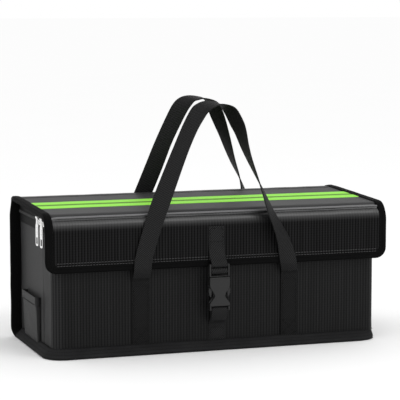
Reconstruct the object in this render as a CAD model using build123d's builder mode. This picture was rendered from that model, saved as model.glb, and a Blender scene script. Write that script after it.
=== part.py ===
from build123d import *
import os
from math import cos, radians, sin, tan

# Padded fire-resistant storage bag for battery packs: a stiffened fabric box with a
# zipped lid, a front flap closed by a side-release buckle, and two carrying loops.
# Millimetres. +X runs along the bag to the right, -Y is the front, +Z is up.
# The origin is the centre of the base's underside.

os.makedirs("parts", exist_ok=True)

# ---- driving dimensions ----------------------------------------------------------
HEIGHT = 201.0            # outside, over the lid
FRONT = -100.0            # outside face of the flap
BACK = 100.0              # outside face of the back panel
BODY_HALF = 236.0         # half length of the tub, over its end panels
LID_HALF = 248.0          # half length of the lid and of the back panel's flanges
RIM_HALF = 245.0          # half length over the bound seam round the base
WALL_FRONT = -89.0        # outside face of the tub's front wall
FLAP_LOW = 118.0          # lower edge of the flap
MOUTH = 181.0             # rim of the tub, where the zip runs

FABRIC = 1.2              # coated outer fabric
BOARD = 2.6               # stiffener board
LINER = 0.8               # woven glass-fibre liner
WALL = FABRIC + BOARD + LINER
TAPE = 1.2                # zip tape thickness
BINDING = 11.0            # visible width of the edge binding
WEBBING = 25.0            # webbing width
WEBBING_T = 1.8           # webbing thickness

BEND_R = 14.0             # fold between base and back panel
CORNER_R = 8.0            # upright front corners of the tub
RIM_CORNER_R = 28.0       # front corners of the base seam, in plan
SHOULDER_R = 24.0         # rounded front edge of the lid
SHOULDER_Y = FRONT + SHOULDER_R
SHOULDER_Z = 172.0
TOP_SLOPE = 1.85          # fall of the lid towards its front edge, degrees
SLOPE_ANGLE = 90.0 + TOP_SLOPE            # where the flat top meets the shoulder arc
STIFF_ANGLE = 114.0       # where the shoulder's bonded stiffening begins, degrees
RIDGE_ANGLE = 128.0       # where the piping lies on the shoulder arc, degrees

HINGE_Y = BACK - 2.4      # axis of the fold between back panel and lid
HINGE_Z = HEIGHT - 2.4
FOLD_R = 2.2

WRAP_CORNER = 50.0        # how far the front fabric turns round each end
STRAP_LOW = 13.6          # lower end of the sewn webbing, on the base seam
STRAP_TOP = 103.0         # upper end of the sewn webbing
GAP = 0.1                 # room between pieces that are sewn face to face
BACK_TOP = 196.0          # upper edge of the back panel's fabric and of its flanges
BOARD_HALF = 230.0        # half length of the base and back boards
BOARD_LOW = 5.0           # lower and upper edges of the wall boards
BOARD_TOP = 180.0

BUCKLE_X = -5.5
UPPER_STRAP_X = -7.5      # the buckle's two straps aren't quite in line
LOWER_STRAP_X = -3.0
BUCKLE_WEB = 23.0         # width of the buckle's webbing
BUCKLE_Y = FRONT - 6.6    # middle of the buckle's thickness
ZIP_Z = 181.8             # line where the two rows of teeth meet
SLIDERS = {"rear": -38.0, "front": -62.0}   # where the zip sliders stand along Y


def save(piece, name):
    """Label a finished piece and write its STEP file."""
    piece.part.label = name
    export_step(piece.part, f"parts/{name}.step")


def footprint_lines(half_x, front_y, rear_y, radius):
    """Plan of the bag's footprint: a rectangle whose two front corners are rounded."""
    FilletPolyline(
        (-half_x, rear_y), (-half_x, front_y), (half_x, front_y), (half_x, rear_y),
        radius=radius,
    )
    Line((half_x, rear_y), (-half_x, rear_y))


def shoulder_point(depth, angle):
    """Point of the lid's shoulder arc, depth below the outside face."""
    reach = SHOULDER_R - depth
    return (SHOULDER_Y + reach * cos(radians(angle)), SHOULDER_Z + reach * sin(radians(angle)))


def top_lines(depth, rear_y, end_angle):
    """Lid outline in YZ from its rear edge to an angle on the shoulder arc."""
    level = HEIGHT - depth
    foot = shoulder_point(depth, SLOPE_ANGLE)
    crest = (foot[0] + (level - foot[1]) / tan(radians(TOP_SLOPE)), level)
    Line((rear_y, level), crest)
    Line(crest, foot)
    if end_angle > SLOPE_ANGLE:
        shoulder_arc(depth, SLOPE_ANGLE, end_angle)


def shoulder_arc(depth, start_angle, end_angle):
    CenterArc((SHOULDER_Y, SHOULDER_Z), SHOULDER_R - depth, start_angle, end_angle - start_angle)


def flap_line(depth, low_z):
    Line((FRONT + depth, SHOULDER_Z), (FRONT + depth, low_z))


def lid_section(outer, inner, rear_y, low_z):
    """Closed section of the whole lid and flap between two depths."""
    for depth in (outer, inner):
        top_lines(depth, rear_y, 180.0)
        flap_line(depth, low_z)
    Line((rear_y, HEIGHT - outer), (rear_y, HEIGHT - inner))
    Line((FRONT + outer, low_z), (FRONT + inner, low_z))


def top_section(outer, inner, rear_y, end_angle):
    """Closed section of the lid's top only, ending on the shoulder arc."""
    for depth in (outer, inner):
        top_lines(depth, rear_y, end_angle)
    Line((rear_y, HEIGHT - outer), (rear_y, HEIGHT - inner))
    Line(shoulder_point(outer, end_angle), shoulder_point(inner, end_angle))


def bend_section(outer_r, inner_r, front_y, high_z):
    """Closed section of the base, its fold and the back panel, between two bend radii."""
    centre = (BACK - BEND_R, BEND_R)
    for radius in (outer_r, inner_r):
        Line((front_y, centre[1] - radius), (centre[0], centre[1] - radius))
        CenterArc(centre, radius, -90.0, 90.0)
        Line((centre[0] + radius, centre[1]), (centre[0] + radius, high_z))
    Line((front_y, centre[1] - outer_r), (front_y, centre[1] - inner_r))
    Line((centre[0] + outer_r, high_z), (centre[0] + inner_r, high_z))


# ==== tub: base, back, walls ======================================================
with BuildPart() as wrap_skin:
    # One strip of outer fabric: base, fold and back panel.
    with BuildSketch(Plane.YZ):
        with BuildLine():
            bend_section(BEND_R, BEND_R - FABRIC, WALL_FRONT, BACK_TOP)
        make_face()
    extrude(amount=BODY_HALF, both=True)
    fillet(wrap_skin.edges().filter_by(Axis.Z).group_by(Axis.Y)[0], CORNER_R)
save(wrap_skin, "wrap_skin")

with BuildPart() as base_board:
    with BuildSketch(Plane.XY.offset(FABRIC)):
        with BuildLine():
            footprint_lines(
                BOARD_HALF, WALL_FRONT + FABRIC + GAP, BACK - BEND_R - 2 * GAP, CORNER_R - FABRIC
            )
        make_face()
    extrude(amount=BOARD)
save(base_board, "base_board")

BACK_BOARD_LOW = BEND_R + 2.0
BACK_BOARD_TOP = BACK_TOP - 1.0

with BuildPart() as back_board:
    with BuildSketch(Plane.XZ.offset(-(BACK - FABRIC))):
        with Locations((0.0, (BACK_BOARD_LOW + BACK_BOARD_TOP) / 2)):
            Rectangle(2 * BOARD_HALF, BACK_BOARD_TOP - BACK_BOARD_LOW)
    extrude(amount=BOARD)
save(back_board, "back_board")

PANEL_LOW = FABRIC + GAP          # the wall fabric stands on the base fabric
PANEL_REAR = WALL_FRONT + WRAP_CORNER
END_FRONT = PANEL_REAR + GAP      # edges of the smooth end panels
END_REAR = BACK - PANEL_LOW
END_BOARD_FRONT = WALL_FRONT + 9.0
END_BOARD_REAR = BACK - 8.0
FRONT_BOARD_HALF = BODY_HALF - 10.0

with BuildPart() as front_panel:
    # Ribbed fabric across the front, turned round both upright corners.
    with BuildSketch(Plane.XY.offset(PANEL_LOW)):
        with BuildLine():
            footprint_lines(BODY_HALF, WALL_FRONT, PANEL_REAR, CORNER_R)
        make_face()
        with BuildLine():
            footprint_lines(
                BODY_HALF - FABRIC, WALL_FRONT + FABRIC, PANEL_REAR, CORNER_R - FABRIC
            )
        make_face(mode=Mode.SUBTRACT)
    extrude(amount=MOUTH - PANEL_LOW)
save(front_panel, "front_panel")

for side, sign in (("left", -1), ("right", 1)):
    with BuildPart() as end_panel:
        with BuildSketch(Plane.YZ.offset(sign * BODY_HALF)):
            with Locations(((END_FRONT + END_REAR) / 2, (PANEL_LOW + MOUTH) / 2)):
                outline = Rectangle(END_REAR - END_FRONT, MOUTH - PANEL_LOW)
            lower_corners = outline.vertices().group_by(Axis.Y)[0]
            fillet(lower_corners.sort_by(Axis.X)[-1], BEND_R - PANEL_LOW)
        extrude(amount=-sign * FABRIC)
    save(end_panel, f"{side}_end_panel")

    with BuildPart() as end_board:
        with BuildSketch(Plane.YZ.offset(sign * (BODY_HALF - FABRIC))):
            with Locations(((END_BOARD_FRONT + END_BOARD_REAR) / 2, (BOARD_LOW + BOARD_TOP) / 2)):
                Rectangle(END_BOARD_REAR - END_BOARD_FRONT, BOARD_TOP - BOARD_LOW)
        extrude(amount=-sign * BOARD)
    save(end_board, f"{side}_end_board")

with BuildPart() as front_board:
    with BuildSketch(Plane.XZ.offset(-(WALL_FRONT + FABRIC))):
        with Locations((0.0, (BOARD_LOW + BOARD_TOP) / 2)):
            Rectangle(2 * FRONT_BOARD_HALF, BOARD_TOP - BOARD_LOW)
    extrude(amount=-BOARD)
save(front_board, "front_board")

LINER_HALF = BODY_HALF - FABRIC - BOARD
LINER_FRONT = WALL_FRONT + FABRIC + BOARD
LINER_BACK = BACK - FABRIC - BOARD
LINER_LOW = FABRIC + BOARD
LINER_BEND = BEND_R - FABRIC - BOARD
LINER_FOLD = 3.0                  # outer radius of the lining's front lower fold

with BuildPart() as tub_liner:
    # Glass-fibre lining of the whole tub, open at the top.
    for shell, operation in ((0.0, Mode.ADD), (LINER, Mode.SUBTRACT)):
        with BuildSketch(Plane.YZ):
            with BuildLine():
                low_z = LINER_LOW + shell
                rear_y = LINER_BACK - shell
                FilletPolyline(
                    (LINER_FRONT + shell, MOUTH), (LINER_FRONT + shell, low_z),
                    (rear_y, low_z), (rear_y, MOUTH),
                    radius=[LINER_FOLD - shell, LINER_BEND - shell],
                )
                Line((LINER_FRONT + shell, MOUTH), (rear_y, MOUTH))
            make_face()
        extrude(amount=LINER_HALF - shell, both=True, mode=operation)
save(tub_liner, "tub_liner")

# ==== bound seams of the tub ======================================================
RIM_EDGE = 2.5            # upright part of the seam's outer edge
RIM_RISE = 11.0           # the seam leans in at 45 degrees up to the wall
RIM_FRONT = FRONT + 1.0
RIM_REAR = 81.9           # rear end of the seam along each end wall

with BuildPart() as rim_binding:
    # Bound seam round the foot of the front and end walls.
    with BuildSketch():
        with BuildLine():
            footprint_lines(RIM_HALF, RIM_FRONT, RIM_REAR + 2 * RIM_RISE, RIM_CORNER_R)
        make_face()
    extrude(amount=RIM_EDGE)
    with BuildSketch(Plane.XY.offset(RIM_EDGE)):
        with BuildLine():
            footprint_lines(RIM_HALF, RIM_FRONT, RIM_REAR + 2 * RIM_RISE, RIM_CORNER_R)
        make_face()
    extrude(amount=RIM_RISE, taper=45)
    with BuildSketch():
        with BuildLine():
            footprint_lines(BODY_HALF + GAP, WALL_FRONT - GAP, 2 * BACK, CORNER_R + GAP)
        make_face()
    extrude(amount=2 * RIM_RISE, mode=Mode.SUBTRACT)
    split(bisect_by=Plane.XZ.offset(-RIM_REAR), keep=Keep.TOP)
save(rim_binding, "rim_binding")

for side, sign in (("left", -1), ("right", 1)):
    with BuildPart() as rear_flange:
        # Bound side edge of the back panel, standing out past the end wall.
        with BuildSketch(Plane.YZ.offset(sign * (BODY_HALF + GAP))):
            with BuildLine():
                bend_section(BEND_R, BEND_R - WALL, RIM_REAR + GAP, BACK_TOP)
            make_face()
        extrude(amount=sign * (LID_HALF - BODY_HALF - GAP))
    save(rear_flange, f"{side}_rear_flange")

with BuildPart() as hinge_fold:
    # Folded fabric between back panel and lid.
    with BuildSketch(Plane.YZ):
        with Locations((HINGE_Y, HINGE_Z)):
            Circle(FOLD_R)
    extrude(amount=LID_HALF - 1.0, both=True)
save(hinge_fold, "hinge_fold")

# ==== lid and flap ================================================================
LID_INNER = LID_HALF - BINDING    # the lid's fabric ends at the side bindings
LID_REAR = BACK - 5.0
FLAP_HEM = FLAP_LOW + BINDING     # the flap's fabric ends at its lower binding

with BuildPart() as top_skin:
    with BuildSketch(Plane.YZ):
        with BuildLine():
            top_section(0.0, FABRIC, LID_REAR, RIDGE_ANGLE)
        make_face()
    extrude(amount=LID_INNER, both=True)
save(top_skin, "top_skin")

with BuildPart() as flap_skin:
    with BuildSketch(Plane.YZ):
        with BuildLine():
            for depth in (0.0, FABRIC):
                shoulder_arc(depth, RIDGE_ANGLE, 180.0)
                flap_line(depth, FLAP_HEM)
            Line(shoulder_point(0.0, RIDGE_ANGLE), shoulder_point(FABRIC, RIDGE_ANGLE))
            Line((FRONT, FLAP_HEM), (FRONT + FABRIC, FLAP_HEM))
        make_face()
        # The stiffening is bonded to the fabric all round the shoulder.
        with BuildLine():
            for depth in (FABRIC, FABRIC + BOARD):
                shoulder_arc(depth, STIFF_ANGLE, 180.0)
            for angle in (STIFF_ANGLE, 180.0):
                Line(shoulder_point(FABRIC, angle), shoulder_point(FABRIC + BOARD, angle))
        make_face()
    extrude(amount=LID_INNER, both=True)
save(flap_skin, "flap_skin")

with BuildPart() as lid_board:
    with BuildSketch(Plane.YZ):
        with BuildLine():
            top_section(FABRIC, FABRIC + BOARD, LID_REAR - 1.0, SLOPE_ANGLE)
        make_face()
    extrude(amount=LID_INNER, both=True)
save(lid_board, "lid_board")

with BuildPart() as flap_board:
    with BuildSketch(Plane.XZ.offset(-(FRONT + FABRIC))):
        with Locations((0.0, (FLAP_HEM + SHOULDER_Z) / 2)):
            Rectangle(2 * LID_INNER, SHOULDER_Z - FLAP_HEM)
    extrude(amount=-BOARD)
save(flap_board, "flap_board")

with BuildPart() as lid_liner:
    with BuildSketch(Plane.YZ):
        with BuildLine():
            lid_section(FABRIC + BOARD, WALL, LID_REAR - 1.0, FLAP_HEM)
        make_face()
    extrude(amount=LID_INNER, both=True)
save(lid_liner, "lid_liner")

for side, sign in (("left", -1), ("right", 1)):
    with BuildPart() as lid_binding:
        with BuildSketch(Plane.YZ.offset(sign * LID_HALF)):
            with BuildLine():
                lid_section(0.0, WALL, LID_REAR, FLAP_LOW)
            make_face()
        extrude(amount=-sign * BINDING)
    save(lid_binding, f"{side}_lid_binding")

with BuildPart() as flap_binding:
    with BuildSketch(Plane.XZ.offset(-FRONT)):
        with Locations((0.0, FLAP_LOW + BINDING / 2)):
            Rectangle(2 * LID_INNER, BINDING)
    extrude(amount=-WALL)
save(flap_binding, "flap_binding")

# Two bright stripes across the lid, with a narrow groove between them.
STRIPE_T = 0.5
STRIPES = {"rear": (5.5, 28.5), "front": (-28.5, -5.5)}   # front and rear edges

for place, (front_y, rear_y) in STRIPES.items():
    with BuildPart() as stripe:
        with BuildSketch(Plane.YZ):
            with BuildLine():
                top_section(-STRIPE_T, 0.0, LID_REAR, SLOPE_ANGLE)
            make_face()
            with Locations(((front_y + rear_y) / 2, HEIGHT)):
                Rectangle(rear_y - front_y, HEIGHT / 5, mode=Mode.INTERSECT)
        extrude(amount=LID_INNER, both=True)
    save(stripe, f"{place}_stripe")

PIPING_R = 1.25

with BuildPart() as ridge_piping:
    # Raised seam where the lid's top meets the flap.
    with BuildSketch(Plane.YZ):
        with Locations(shoulder_point(-PIPING_R - GAP / 2, RIDGE_ANGLE)):
            Circle(PIPING_R)
    extrude(amount=LID_INNER, both=True)
save(ridge_piping, "ridge_piping")

# ==== zip =========================================================================
TEETH_GAP = 0.2           # the two rows part here when the lid opens
TEETH = 1.3               # height of each row of teeth
TEETH_OUT = 1.4           # how far the teeth stand out from the tape
TEETH_BREAK = 18.0        # added to the sliders' distance for the break in the upper teeth
TAPE_REAR = BACK - 5.0
TAPE_IN = 0.05            # the tapes stand this far off the wall
LOWER_TAPE_LOW = 167.0
UPPER_TAPE_TOP = 191.0
FRONT_TAPE_TOP = 184.4    # top of the upper tape across the front


def zip_lines(out):
    """Footprint of the tub, out by a distance: left end, front and right end."""
    footprint_lines(BODY_HALF + out, WALL_FRONT - out, TAPE_REAR, CORNER_R + out)


LOWER_TOP = ZIP_Z - TEETH_GAP / 2
UPPER_LOW = ZIP_Z + TEETH_GAP / 2

with BuildPart() as zip_lower_tape:
    with BuildSketch(Plane.XY.offset(LOWER_TAPE_LOW)):
        for out, operation in ((TAPE, Mode.ADD), (TAPE_IN, Mode.SUBTRACT)):
            with BuildLine():
                zip_lines(out)
            make_face(mode=operation)
    extrude(amount=LOWER_TOP - LOWER_TAPE_LOW)
save(zip_lower_tape, "zip_lower_tape")

with BuildPart() as zip_lower_teeth:
    with BuildSketch(Plane.XY.offset(LOWER_TOP - TEETH)):
        for out, operation in ((TAPE + TEETH_OUT, Mode.ADD), (TAPE, Mode.SUBTRACT)):
            with BuildLine():
                zip_lines(out)
            make_face(mode=operation)
    extrude(amount=TEETH)
save(zip_lower_teeth, "zip_lower_teeth")

with BuildPart() as zip_upper_tape:
    # Sewn under the lid; across the front it is only as high as the shoulder allows.
    with BuildSketch(Plane.XY.offset(UPPER_LOW)):
        for out, operation in ((TAPE, Mode.ADD), (TAPE_IN, Mode.SUBTRACT)):
            with BuildLine():
                zip_lines(out)
            make_face(mode=operation)
    extrude(amount=UPPER_TAPE_TOP - UPPER_LOW)
    with BuildSketch(Plane.XY.offset(FRONT_TAPE_TOP)):
        with Locations((0.0, FRONT - 20.0)):
            Rectangle(2 * LID_HALF, -FRONT)
    extrude(amount=HEIGHT - FRONT_TAPE_TOP, mode=Mode.SUBTRACT)
save(zip_upper_tape, "zip_upper_tape")

with BuildPart() as zip_upper_teeth:
    # Left out where the two sliders stand, so that the lid can lift away from them.
    with BuildSketch(Plane.XY.offset(UPPER_LOW)):
        for out, operation in ((TAPE + TEETH_OUT, Mode.ADD), (TAPE, Mode.SUBTRACT)):
            with BuildLine():
                zip_lines(out)
            make_face(mode=operation)
        with Locations((-BODY_HALF, (SLIDERS["rear"] + SLIDERS["front"]) / 2)):
            Rectangle(20.0, SLIDERS["rear"] - SLIDERS["front"] + TEETH_BREAK, mode=Mode.SUBTRACT)
    extrude(amount=TEETH)
save(zip_upper_teeth, "zip_upper_teeth")

SLIDER_X = -(BODY_HALF + TAPE + TEETH_OUT + 0.6)   # inner face of the slider's plate
PLATE = 2.0
PIVOT_X = SLIDER_X - PLATE - 2.7                   # pull's pivot bar
PIVOT_Z = 187.2
PIVOT_R = 0.8
SLIDER_L = 13.0
SLIDER_H = 13.0
LIP_Z = 4.7               # slider's lips, above and below the teeth
POST_Y = 4.3              # slider's posts, each side of the pull's eye
EYE_R = 2.3
EYE_HALF = 2.6
PULL_T = 1.8
PULL_LENGTH = 39.0
PULL_HALF = 4.5           # half width of the pull below its neck
NECK_LOW = 7.0            # the neck widens between these distances below the pivot
NECK_END = 11.0

for place, slider_y in SLIDERS.items():
    with BuildPart() as slider:
        with BuildSketch(Plane.YZ.offset(SLIDER_X)):
            with Locations((slider_y, ZIP_Z)):
                RectangleRounded(SLIDER_L, SLIDER_H, 2.0)
        extrude(amount=-PLATE)
        # Lips that hook over both rows of teeth.
        for lip_z in (ZIP_Z - LIP_Z, ZIP_Z + LIP_Z):
            with BuildSketch(Plane.YZ.offset(SLIDER_X)):
                with Locations((slider_y, lip_z)):
                    Rectangle(SLIDER_L - 2.0, 1.3)
            extrude(amount=1.6)
        # Two posts and the pivot bar for the pull.
        with BuildSketch(Plane.YZ.offset(SLIDER_X - PLATE)):
            with Locations((slider_y - POST_Y, PIVOT_Z), (slider_y + POST_Y, PIVOT_Z)):
                Rectangle(1.6, 2.4)
        extrude(amount=-3.7)
        with BuildSketch(Plane.XZ.offset(-(slider_y - POST_Y))):
            with Locations((PIVOT_X, PIVOT_Z)):
                Circle(PIVOT_R)
        extrude(amount=-2 * POST_Y)
    save(slider, f"{place}_slider")

    with BuildPart() as pull:
        with BuildSketch(Plane.XZ.offset(-(slider_y - EYE_HALF))):
            with Locations((PIVOT_X, PIVOT_Z)):
                Circle(EYE_R)
                Circle(PIVOT_R + 0.1, mode=Mode.SUBTRACT)
        extrude(amount=-2 * EYE_HALF)
        with BuildSketch(Plane.YZ.offset(PIVOT_X - PULL_T / 2)):
            with BuildLine():
                Polyline(
                    (slider_y - EYE_HALF, PIVOT_Z - 1.4),
                    (slider_y - EYE_HALF, PIVOT_Z - NECK_LOW),
                    (slider_y - PULL_HALF, PIVOT_Z - NECK_END),
                    (slider_y - PULL_HALF, PIVOT_Z - PULL_LENGTH),
                    (slider_y + PULL_HALF, PIVOT_Z - PULL_LENGTH),
                    (slider_y + PULL_HALF, PIVOT_Z - NECK_END),
                    (slider_y + EYE_HALF, PIVOT_Z - NECK_LOW),
                    (slider_y + EYE_HALF, PIVOT_Z - 1.4), close=True,
                )
            pull_face = make_face()
            fillet(pull_face.vertices().group_by(Axis.Y)[0], 3.0)
            with Locations((slider_y, PIVOT_Z - PULL_LENGTH + 8.0)):
                SlotOverall(10.0, 3.0, rotation=90, mode=Mode.SUBTRACT)
        extrude(amount=PULL_T)
    save(pull, f"{place}_pull")

# ==== pocket on the left end ======================================================
POCKET_FRONT = -21.0
POCKET_REAR = 57.0
POCKET_TOP = 74.0
POCKET_LOW = 14.0
POCKET_DEPTH = 7.0
POCKET_HEM = 12.0
POCKET_HEM_T = 0.8
POCKET_X = -BODY_HALF - 0.05      # the pocket's sewn edges lie on the end panel

with BuildPart() as end_pocket:
    # Open-topped slip pocket standing off the end panel.
    pocket_face = Plane.YZ.offset(POCKET_X)
    middle = ((POCKET_FRONT + POCKET_REAR) / 2, (POCKET_LOW + POCKET_TOP) / 2)
    with BuildSketch(pocket_face):
        with Locations(middle):
            Rectangle(POCKET_REAR - POCKET_FRONT, POCKET_TOP - POCKET_LOW)
    extrude(amount=-POCKET_DEPTH)
    with BuildSketch(pocket_face):
        with Locations((middle[0], middle[1] + FABRIC)):
            Rectangle(POCKET_REAR - POCKET_FRONT - 2 * FABRIC, POCKET_TOP - POCKET_LOW)
    extrude(amount=-(POCKET_DEPTH - FABRIC), mode=Mode.SUBTRACT)
save(end_pocket, "end_pocket")

with BuildPart() as pocket_hem:
    with BuildSketch(Plane.YZ.offset(POCKET_X - POCKET_DEPTH)):
        with Locations((middle[0], POCKET_TOP - POCKET_HEM / 2)):
            Rectangle(POCKET_REAR - POCKET_FRONT, POCKET_HEM)
    extrude(amount=-POCKET_HEM_T)
save(pocket_hem, "pocket_hem")

# ==== webbing =====================================================================
FRONT_LEGS = {"left": -113.0, "right": 104.0}
REAR_LEGS = {"left": -96.0, "right": 116.0}
REAR_STRAP_LOW = BEND_R + 2.0

for side in ("left", "right"):
    with BuildPart() as front_strap:
        with BuildSketch(Plane.XZ.offset(-WALL_FRONT)):
            with Locations((FRONT_LEGS[side], (STRAP_LOW + STRAP_TOP) / 2)):
                Rectangle(WEBBING, STRAP_TOP - STRAP_LOW)
        extrude(amount=WEBBING_T)
    save(front_strap, f"front_{side}_strap")

    with BuildPart() as rear_strap:
        with BuildSketch(Plane.XZ.offset(-BACK)):
            with Locations((REAR_LEGS[side], (REAR_STRAP_LOW + STRAP_TOP) / 2)):
                Rectangle(WEBBING, STRAP_TOP - REAR_STRAP_LOW)
        extrude(amount=-WEBBING_T)
    save(rear_strap, f"rear_{side}_strap")


def loop_plane(rest_y, low_z, lean):
    """Plane of a carrying loop above the lid, leaning towards the bag's middle."""
    toward = 1 if rest_y < 0 else -1
    angle = radians(lean)
    return Plane(
        origin=(0, rest_y, low_z), x_dir=(1, 0, 0), z_dir=(0, -cos(angle), toward * sin(angle))
    )


FRONT_LOOP_Y = FRONT - 3.0
REAR_LOOP_Y = BACK + 3.0
HALF_W = WEBBING / 2
LOOP_LOW = STRAP_TOP + 0.3        # the free loops start just above the sewn webbing
FRONT_FOOT = 116.0                # the front loop stands clear of the flap from here up
FRONT_LEAN_Z = 182.0              # heights from which the loops lean in over the lid
REAR_LEAN_Z = 204.0
FRONT_LEAN = 19.9                 # degrees from upright
REAR_LEAN = 25.6
# Middle of each leg at its foot and where the lean begins.
FRONT_PATH = ((FRONT_LEGS["left"], -95.0), (FRONT_LEGS["right"], 77.0))
REAR_PATH = ((REAR_LEGS["left"], -54.0), (REAR_LEGS["right"], 110.0))
# Outlines of the leaning loops, each in its own plane: X, and distance up the lean.
FRONT_ARCH = [
    (-107.5, 0), (-34, 150), (-22, 166), (-4, 173), (34, 166), (48, 150), (62, 60), (89.5, 0),
    (64.5, 0), (38, 60), (26, 138), (2, 150), (-10, 142), (-82.5, 0),
]
REAR_ARCH = [
    (-66.5, 0), (-28, 140), (-20, 152), (-4, 158), (34, 152), (58, 130), (122.5, 0), (97.5, 0),
    (34, 124), (24, 132), (4, 132), (-4, 126), (-41.5, 0),
]

with BuildPart() as front_handle:
    # Free part of the front carrying loop: up over the flap, then leaning in.
    for foot_x, head_x in FRONT_PATH:
        with BuildSketch(Plane.XZ.offset(-FRONT_LOOP_Y)):
            with BuildLine():
                Polyline(
                    (foot_x - HALF_W, FRONT_FOOT), (foot_x + HALF_W, FRONT_FOOT),
                    (head_x + HALF_W, FRONT_LEAN_Z), (head_x - HALF_W, FRONT_LEAN_Z),
                    close=True,
                )
            make_face()
        extrude(amount=WEBBING_T / 2, both=True)
        with BuildSketch(Plane.YZ.offset(foot_x - HALF_W)):
            with BuildLine():
                Polyline(
                    (WALL_FRONT - WEBBING_T, LOOP_LOW),
                    (FRONT_LOOP_Y + WEBBING_T / 2, FRONT_FOOT + 1.0),
                    (FRONT_LOOP_Y - WEBBING_T / 2, FRONT_FOOT + 1.0),
                    (WALL_FRONT - 2 * WEBBING_T, LOOP_LOW), close=True,
                )
            make_face()
        extrude(amount=WEBBING)
    with BuildSketch(loop_plane(FRONT_LOOP_Y, FRONT_LEAN_Z - 1.0, FRONT_LEAN)):
        with BuildLine():
            Polyline(*FRONT_ARCH, close=True)
        make_face()
    extrude(amount=WEBBING_T / 2, both=True)
save(front_handle, "front_handle")

with BuildPart() as rear_handle:
    # Free part of the rear carrying loop.
    for foot_x, head_x in REAR_PATH:
        with BuildSketch(Plane.XZ.offset(-REAR_LOOP_Y)):
            with BuildLine():
                Polyline(
                    (foot_x - HALF_W, LOOP_LOW), (foot_x + HALF_W, LOOP_LOW),
                    (head_x + HALF_W, REAR_LEAN_Z), (head_x - HALF_W, REAR_LEAN_Z), close=True,
                )
            make_face()
        extrude(amount=WEBBING_T / 2, both=True)
    with BuildSketch(loop_plane(REAR_LOOP_Y, REAR_LEAN_Z - 1.0, REAR_LEAN)):
        with BuildLine():
            Polyline(*REAR_ARCH, close=True)
        make_face()
    extrude(amount=WEBBING_T / 2, both=True)
save(rear_handle, "rear_handle")

UPPER_STRAP_LOW = 119.5
UPPER_STRAP_TOP = 173.5
STRAP_LEAVES = 42.0       # height where the lower strap leaves the wall for the buckle

with BuildPart() as buckle_strap_upper:
    # Sewn to the flap; its free end threads the ladder of the buckle.
    with BuildSketch(Plane.XZ.offset(-FRONT)):
        with Locations((UPPER_STRAP_X, (UPPER_STRAP_LOW + UPPER_STRAP_TOP) / 2)):
            Rectangle(BUCKLE_WEB, UPPER_STRAP_TOP - UPPER_STRAP_LOW)
    extrude(amount=WEBBING_T)
save(buckle_strap_upper, "buckle_strap_upper")

with BuildPart() as buckle_strap_lower:
    # Sewn to the front wall, then out to the lower half of the buckle.
    with BuildSketch(Plane.YZ.offset(LOWER_STRAP_X)):
        with BuildLine():
            Polyline(
                (WALL_FRONT, STRAP_LOW), (WALL_FRONT, STRAP_LEAVES), (-100.4, 55.6),
                (-101.8, 54.4), (WALL_FRONT - WEBBING_T, STRAP_LEAVES - 0.8),
                (WALL_FRONT - WEBBING_T, STRAP_LOW), close=True,
            )
        make_face()
    extrude(amount=BUCKLE_WEB / 2, both=True)
save(buckle_strap_lower, "buckle_strap_lower")

# ==== side-release buckle =========================================================
BUCKLE_W = 29.0
BUCKLE_T = 9.0
BUCKLE_WALL = 2.0
FEMALE_LOW = 57.5
FEMALE_TOP = 103.8
WAIST_LOW = 66.5          # the socket narrows between these heights
WAIST_TOP = 90.0
WAIST_HALF = 7.5          # half width of the narrowest part
NECK_LOW_Z = 77.5         # lower and upper ends of the narrowest part
NECK_TOP_Z = 83.5
MALE_LOW = 104.2
MALE_TOP = 122.0
MALE_T = 6.0
ARM_T = 4.4
LADDER_SLOTS = (107.4, 116.8)     # slots each side of the bar that the upper strap wraps
LADDER_SLOT_H = 3.6
SLOT_W = 24.4
LOOP_SLOT_Z = 63.4        # slot above the bar that the lower strap wraps
LOOP_SLOT_H = 3.2
GUIDE_LOW = 84.0
GUIDE_W = 5.0
GUIDE_T = 3.0
# Outline of an arm for its right-hand side: stem, then the grip that snaps out at the waist.
ARM_OUTLINE = [
    (8.4, MALE_LOW - 0.6), (11.8, MALE_LOW - 0.6), (11.4, 94.0), (11.6, WAIST_TOP - 0.4),
    (14.6, WAIST_TOP - 0.8), (15.8, 86.0), (15.2, 81.0), (13.4, 76.5), (11.6, 76.5),
    (11.2, 82.0), (9.6, 92.0), (8.4, 96.0),
]


def buckle_sketch(offset):
    """Front-facing plane of the buckle, offset towards the front, centred on its X."""
    return Plane(origin=(BUCKLE_X, BUCKLE_Y - offset, 0), x_dir=(1, 0, 0), z_dir=(0, -1, 0))


with BuildPart() as buckle_male:
    with BuildSketch(buckle_sketch(-MALE_T / 2)):
        with Locations((0, (MALE_LOW + MALE_TOP) / 2)):
            RectangleRounded(BUCKLE_W, MALE_TOP - MALE_LOW, 2.0)
        with Locations([(0, slot_z) for slot_z in LADDER_SLOTS]):
            Rectangle(SLOT_W, LADDER_SLOT_H, mode=Mode.SUBTRACT)
    extrude(amount=MALE_T)
    # Centre guide that runs into the socket.
    with BuildSketch(buckle_sketch(-GUIDE_T / 2)):
        with Locations((0, (GUIDE_LOW + MALE_LOW + 1.0) / 2)):
            Rectangle(GUIDE_W, MALE_LOW + 1.0 - GUIDE_LOW)
    extrude(amount=GUIDE_T)
save(buckle_male, "buckle_male")

for side, sign in (("left", -1), ("right", 1)):
    with BuildPart() as buckle_arm:
        with BuildSketch(buckle_sketch(-ARM_T / 2)):
            with BuildLine():
                Polyline(*[(sign * x, z) for x, z in ARM_OUTLINE], close=True)
            make_face()
        extrude(amount=ARM_T)
    save(buckle_arm, f"buckle_{side}_arm")

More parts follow.
